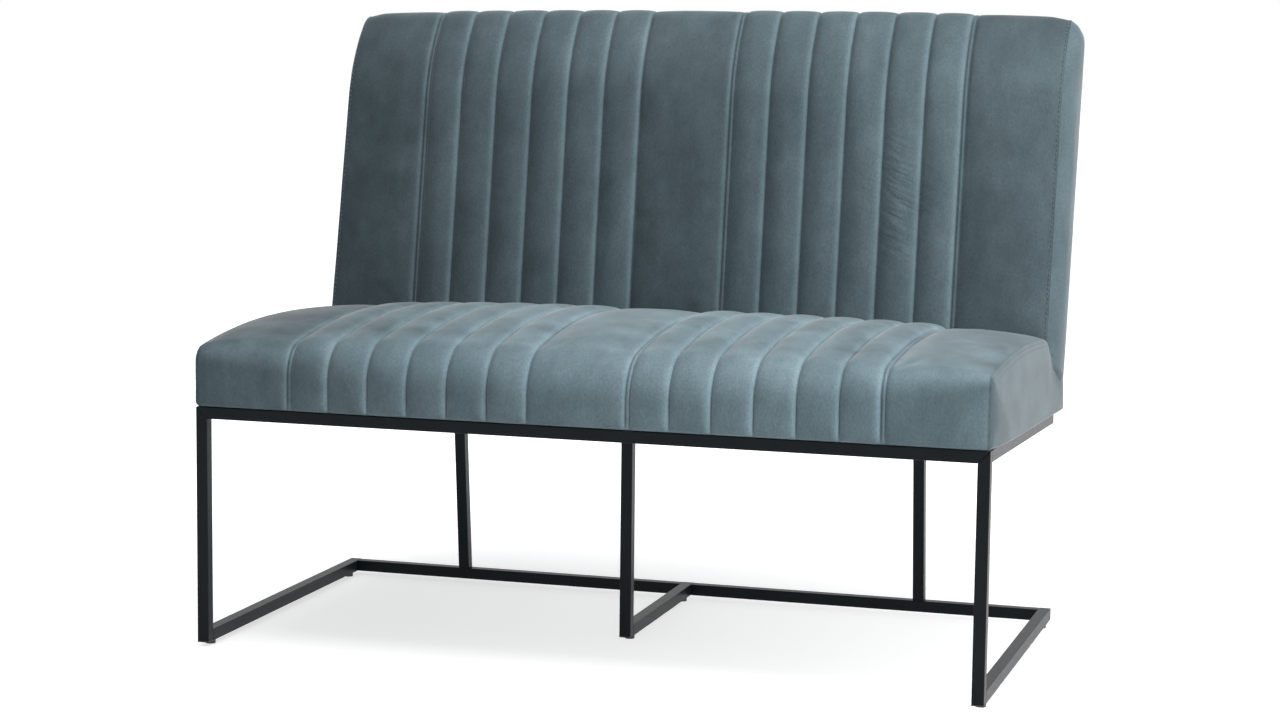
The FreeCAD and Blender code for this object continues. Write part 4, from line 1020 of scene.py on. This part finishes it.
# Sizes of stitches: pitch, length, radius and, where it isn't the usual one, depth in the cloth.
TOPSTITCH = (5.6, 4.2, 0.5)
END_STITCH = (7.5, 4.8, 1.1)
BOXING_STITCH = (10.5, 7.2, 1.0, 0.95)
BOXING_INSETS = (3.2, 10.0)
END_STITCH_INSET = 3
STITCH_END = 4  # the boxings' stitches end this far before the crease
grooves = [number for number, (x, swell, sewn) in enumerate(columns) if sewn and swell == GROOVE_DEPTH]
column_stitches("seat_topstitches", seat_grid, grooves, SEAT_TUCK, SEAT_ROLL, TOPSTITCH)
column_stitches("back_topstitches", back_grid, grooves, BACK_TUCK, BACK_TAIL, TOPSTITCH)
column_places = np.array([x for x, *_ in columns])
beside_ends = [np.abs(column_places - sign * (COVER_END - END_STITCH_INSET)).argmin() for _, sign in SIDES]
column_stitches("back_end_stitches", back_grid, beside_ends, BACK_TUCK, BACK_TAIL, END_STITCH)
for boxing, (name, sign) in zip(seat_boxings, SIDES):
    seam = seat_side(sign)
    seam = seam[seam[:, 0] < SEAT_DEPTH - STITCH_END]
    boxing_stitches(f"seat_{name}_boxing_stitches", boxing, sign, seam, seat_points, BOXING_INSETS,
                    BOXING_STITCH)


# Carried-over nodes

EDGE_WIDTHS = {"powder_coat": 1.3, "wood": 1.5, "black_plastic": 0.5}
OTHER_EDGE = 0.3
SAME_POINT = 0.01
SLOT_OF = {part["node"]: part["material_slot"] for part in frame["record"]["subparts"]}
for name, piece in nodes.items():
    if piece.hide_render:
        continue
    slot = SLOT_OF[name]
    piece.data.materials.clear()
    piece.data.materials.append(MATERIALS[slot])
    weld = piece.modifiers.new("weld", "WELD")
    weld.merge_threshold = SAME_POINT * MM
    edge = piece.modifiers.new("edge", "BEVEL")
    edge.width = EDGE_WIDTHS.get(slot, OTHER_EDGE) * MM
    edge.segments = 3 if slot == "powder_coat" else 2
    edge.limit_method = "ANGLE"
    edge.angle_limit = math.radians(40)
    edge.use_clamp_overlap = True


# Stage, light and camera

def background_rays(tree):
    """One for the rays that show the white background: camera, glossy and transmission rays."""
    path = add(tree, "LightPath", {})
    shown = path["Is Camera Ray"]
    for ray in ("Is Glossy Ray", "Is Transmission Ray"):
        shown = combined(tree, "MAXIMUM", shown, path[ray])
    return shown


def make_floor():
    """A white floor that keeps the bench's shadow and grows whiter away from it."""
    reach, sunk = 30, 0.0005
    mesh = bpy.data.meshes.new("floor")
    mesh.from_pydata([(-reach, -reach, 0), (reach, -reach, 0), (reach, reach, 0), (-reach, reach, 0)], [],
                     [(0, 1, 2, 3)])
    floor = bpy.data.objects.new("floor", mesh)
    scene.collection.objects.link(floor)
    floor.location.z = -sunk
    material, tree, shader = node_material("floor", (0.86, 0.86, 0.86), 0.9, 0.1)
    place = add(tree, "TexCoord", {})["Object"]
    away = add(tree, "VectorMath", {0: place}, operation="LENGTH")["Value"]
    limits = {"From Min": 0.4, "From Max": 1.9, "To Min": 0.35, "To Max": 1.0}
    whiter = add(tree, "MapRange", {"Value": away, **limits}, interpolation_type="SMOOTHSTEP")["Result"]
    strength = combined(tree, "MULTIPLY", background_rays(tree), whiter)
    glow = add(tree, "Emission", {"Color": (1, 1, 1, 1), "Strength": strength})["Emission"]
    both = add(tree, "AddShader", {0: shader.outputs["BSDF"], 1: glow})["Shader"]
    feed(tree, tree.nodes["Material Output"], {"Surface": both})
    mesh.materials.append(material)


def make_world():
    """Soft light from all round, seen as white."""
    world = bpy.data.worlds.new("studio")
    scene.world = world
    world.use_nodes = True
    tree = world.node_tree
    light = tree.nodes["Background"]
    feed(tree, light, {"Color": (0.94, 0.97, 1.0, 1), "Strength": 0.24})
    white = add(tree, "Background", {"Color": (1, 1, 1, 1), "Strength": 1.0})["Background"]
    seen = {"Fac": background_rays(tree), 1: light.outputs["Background"], 2: white}
    feed(tree, tree.nodes["World Output"], {"Surface": add(tree, "MixShader", seen)["Shader"]})


def area_light(name, place, aim, width, height, power, shadow=True):
    lamp = bpy.data.lights.new(name, "AREA")
    lamp.shape = "RECTANGLE"
    lamp.size, lamp.size_y = width, height
    lamp.energy = power
    lamp.use_shadow = shadow
    holder = bpy.data.objects.new(name, lamp)
    holder.location = place
    holder.rotation_euler = (Vector(aim) - Vector(place)).to_track_quat("-Z", "Y").to_euler()
    scene.collection.objects.link(holder)


def make_camera():
    """The photograph's camera, from the fitted place, turn, pitch and roll."""
    yaw, pitch, roll = (math.radians(angle) for angle in (16.823, 7.164, 0.665))
    turn = Matrix(((math.cos(yaw), math.sin(yaw), 0), (-math.sin(yaw), math.cos(yaw), 0), (0, 0, 1)))
    base = Matrix(((1, 0, 0), (0, 0, -1), (0, 1, 0)))
    nod = Matrix(((1, 0, 0), (0, math.cos(pitch), -math.sin(pitch)), (0, math.sin(pitch), math.cos(pitch))))
    tilt = Matrix(((math.cos(roll), -math.sin(roll), 0), (math.sin(roll), math.cos(roll), 0), (0, 0, 1)))
    view = tilt @ nod @ base @ turn
    right, up, back = view[0], -view[1], -view[2]
    camera = bpy.data.cameras.new("camera")
    camera.lens = 80.05
    camera.sensor_width = 36
    holder = bpy.data.objects.new("camera", camera)
    place = Vector((1.2572, FRONT * MM - 3.8464, 0.9741))
    holder.matrix_world = Matrix(((right[0], up[0], back[0], place[0]), (right[1], up[1], back[1], place[1]),
                                  (right[2], up[2], back[2], place[2]), (0, 0, 0, 1)))
    scene.collection.objects.link(holder)
    scene.camera = holder


make_floor()
make_world()
area_light("key", (2.6, -0.5, 2.0), (0.1, 0.1, 0.6), 1.4, 1.6, 90, shadow=False)
area_light("top", (0.15, -0.45, 2.9), (0.1, -0.1, 0.4), 2.8, 1.9, 66)
area_light("left_fill", (-3.2, -2.4, 1.5), (0, 0, 0.5), 2.0, 2.0, 5)
make_camera()
scene.view_settings.view_transform = "Standard"
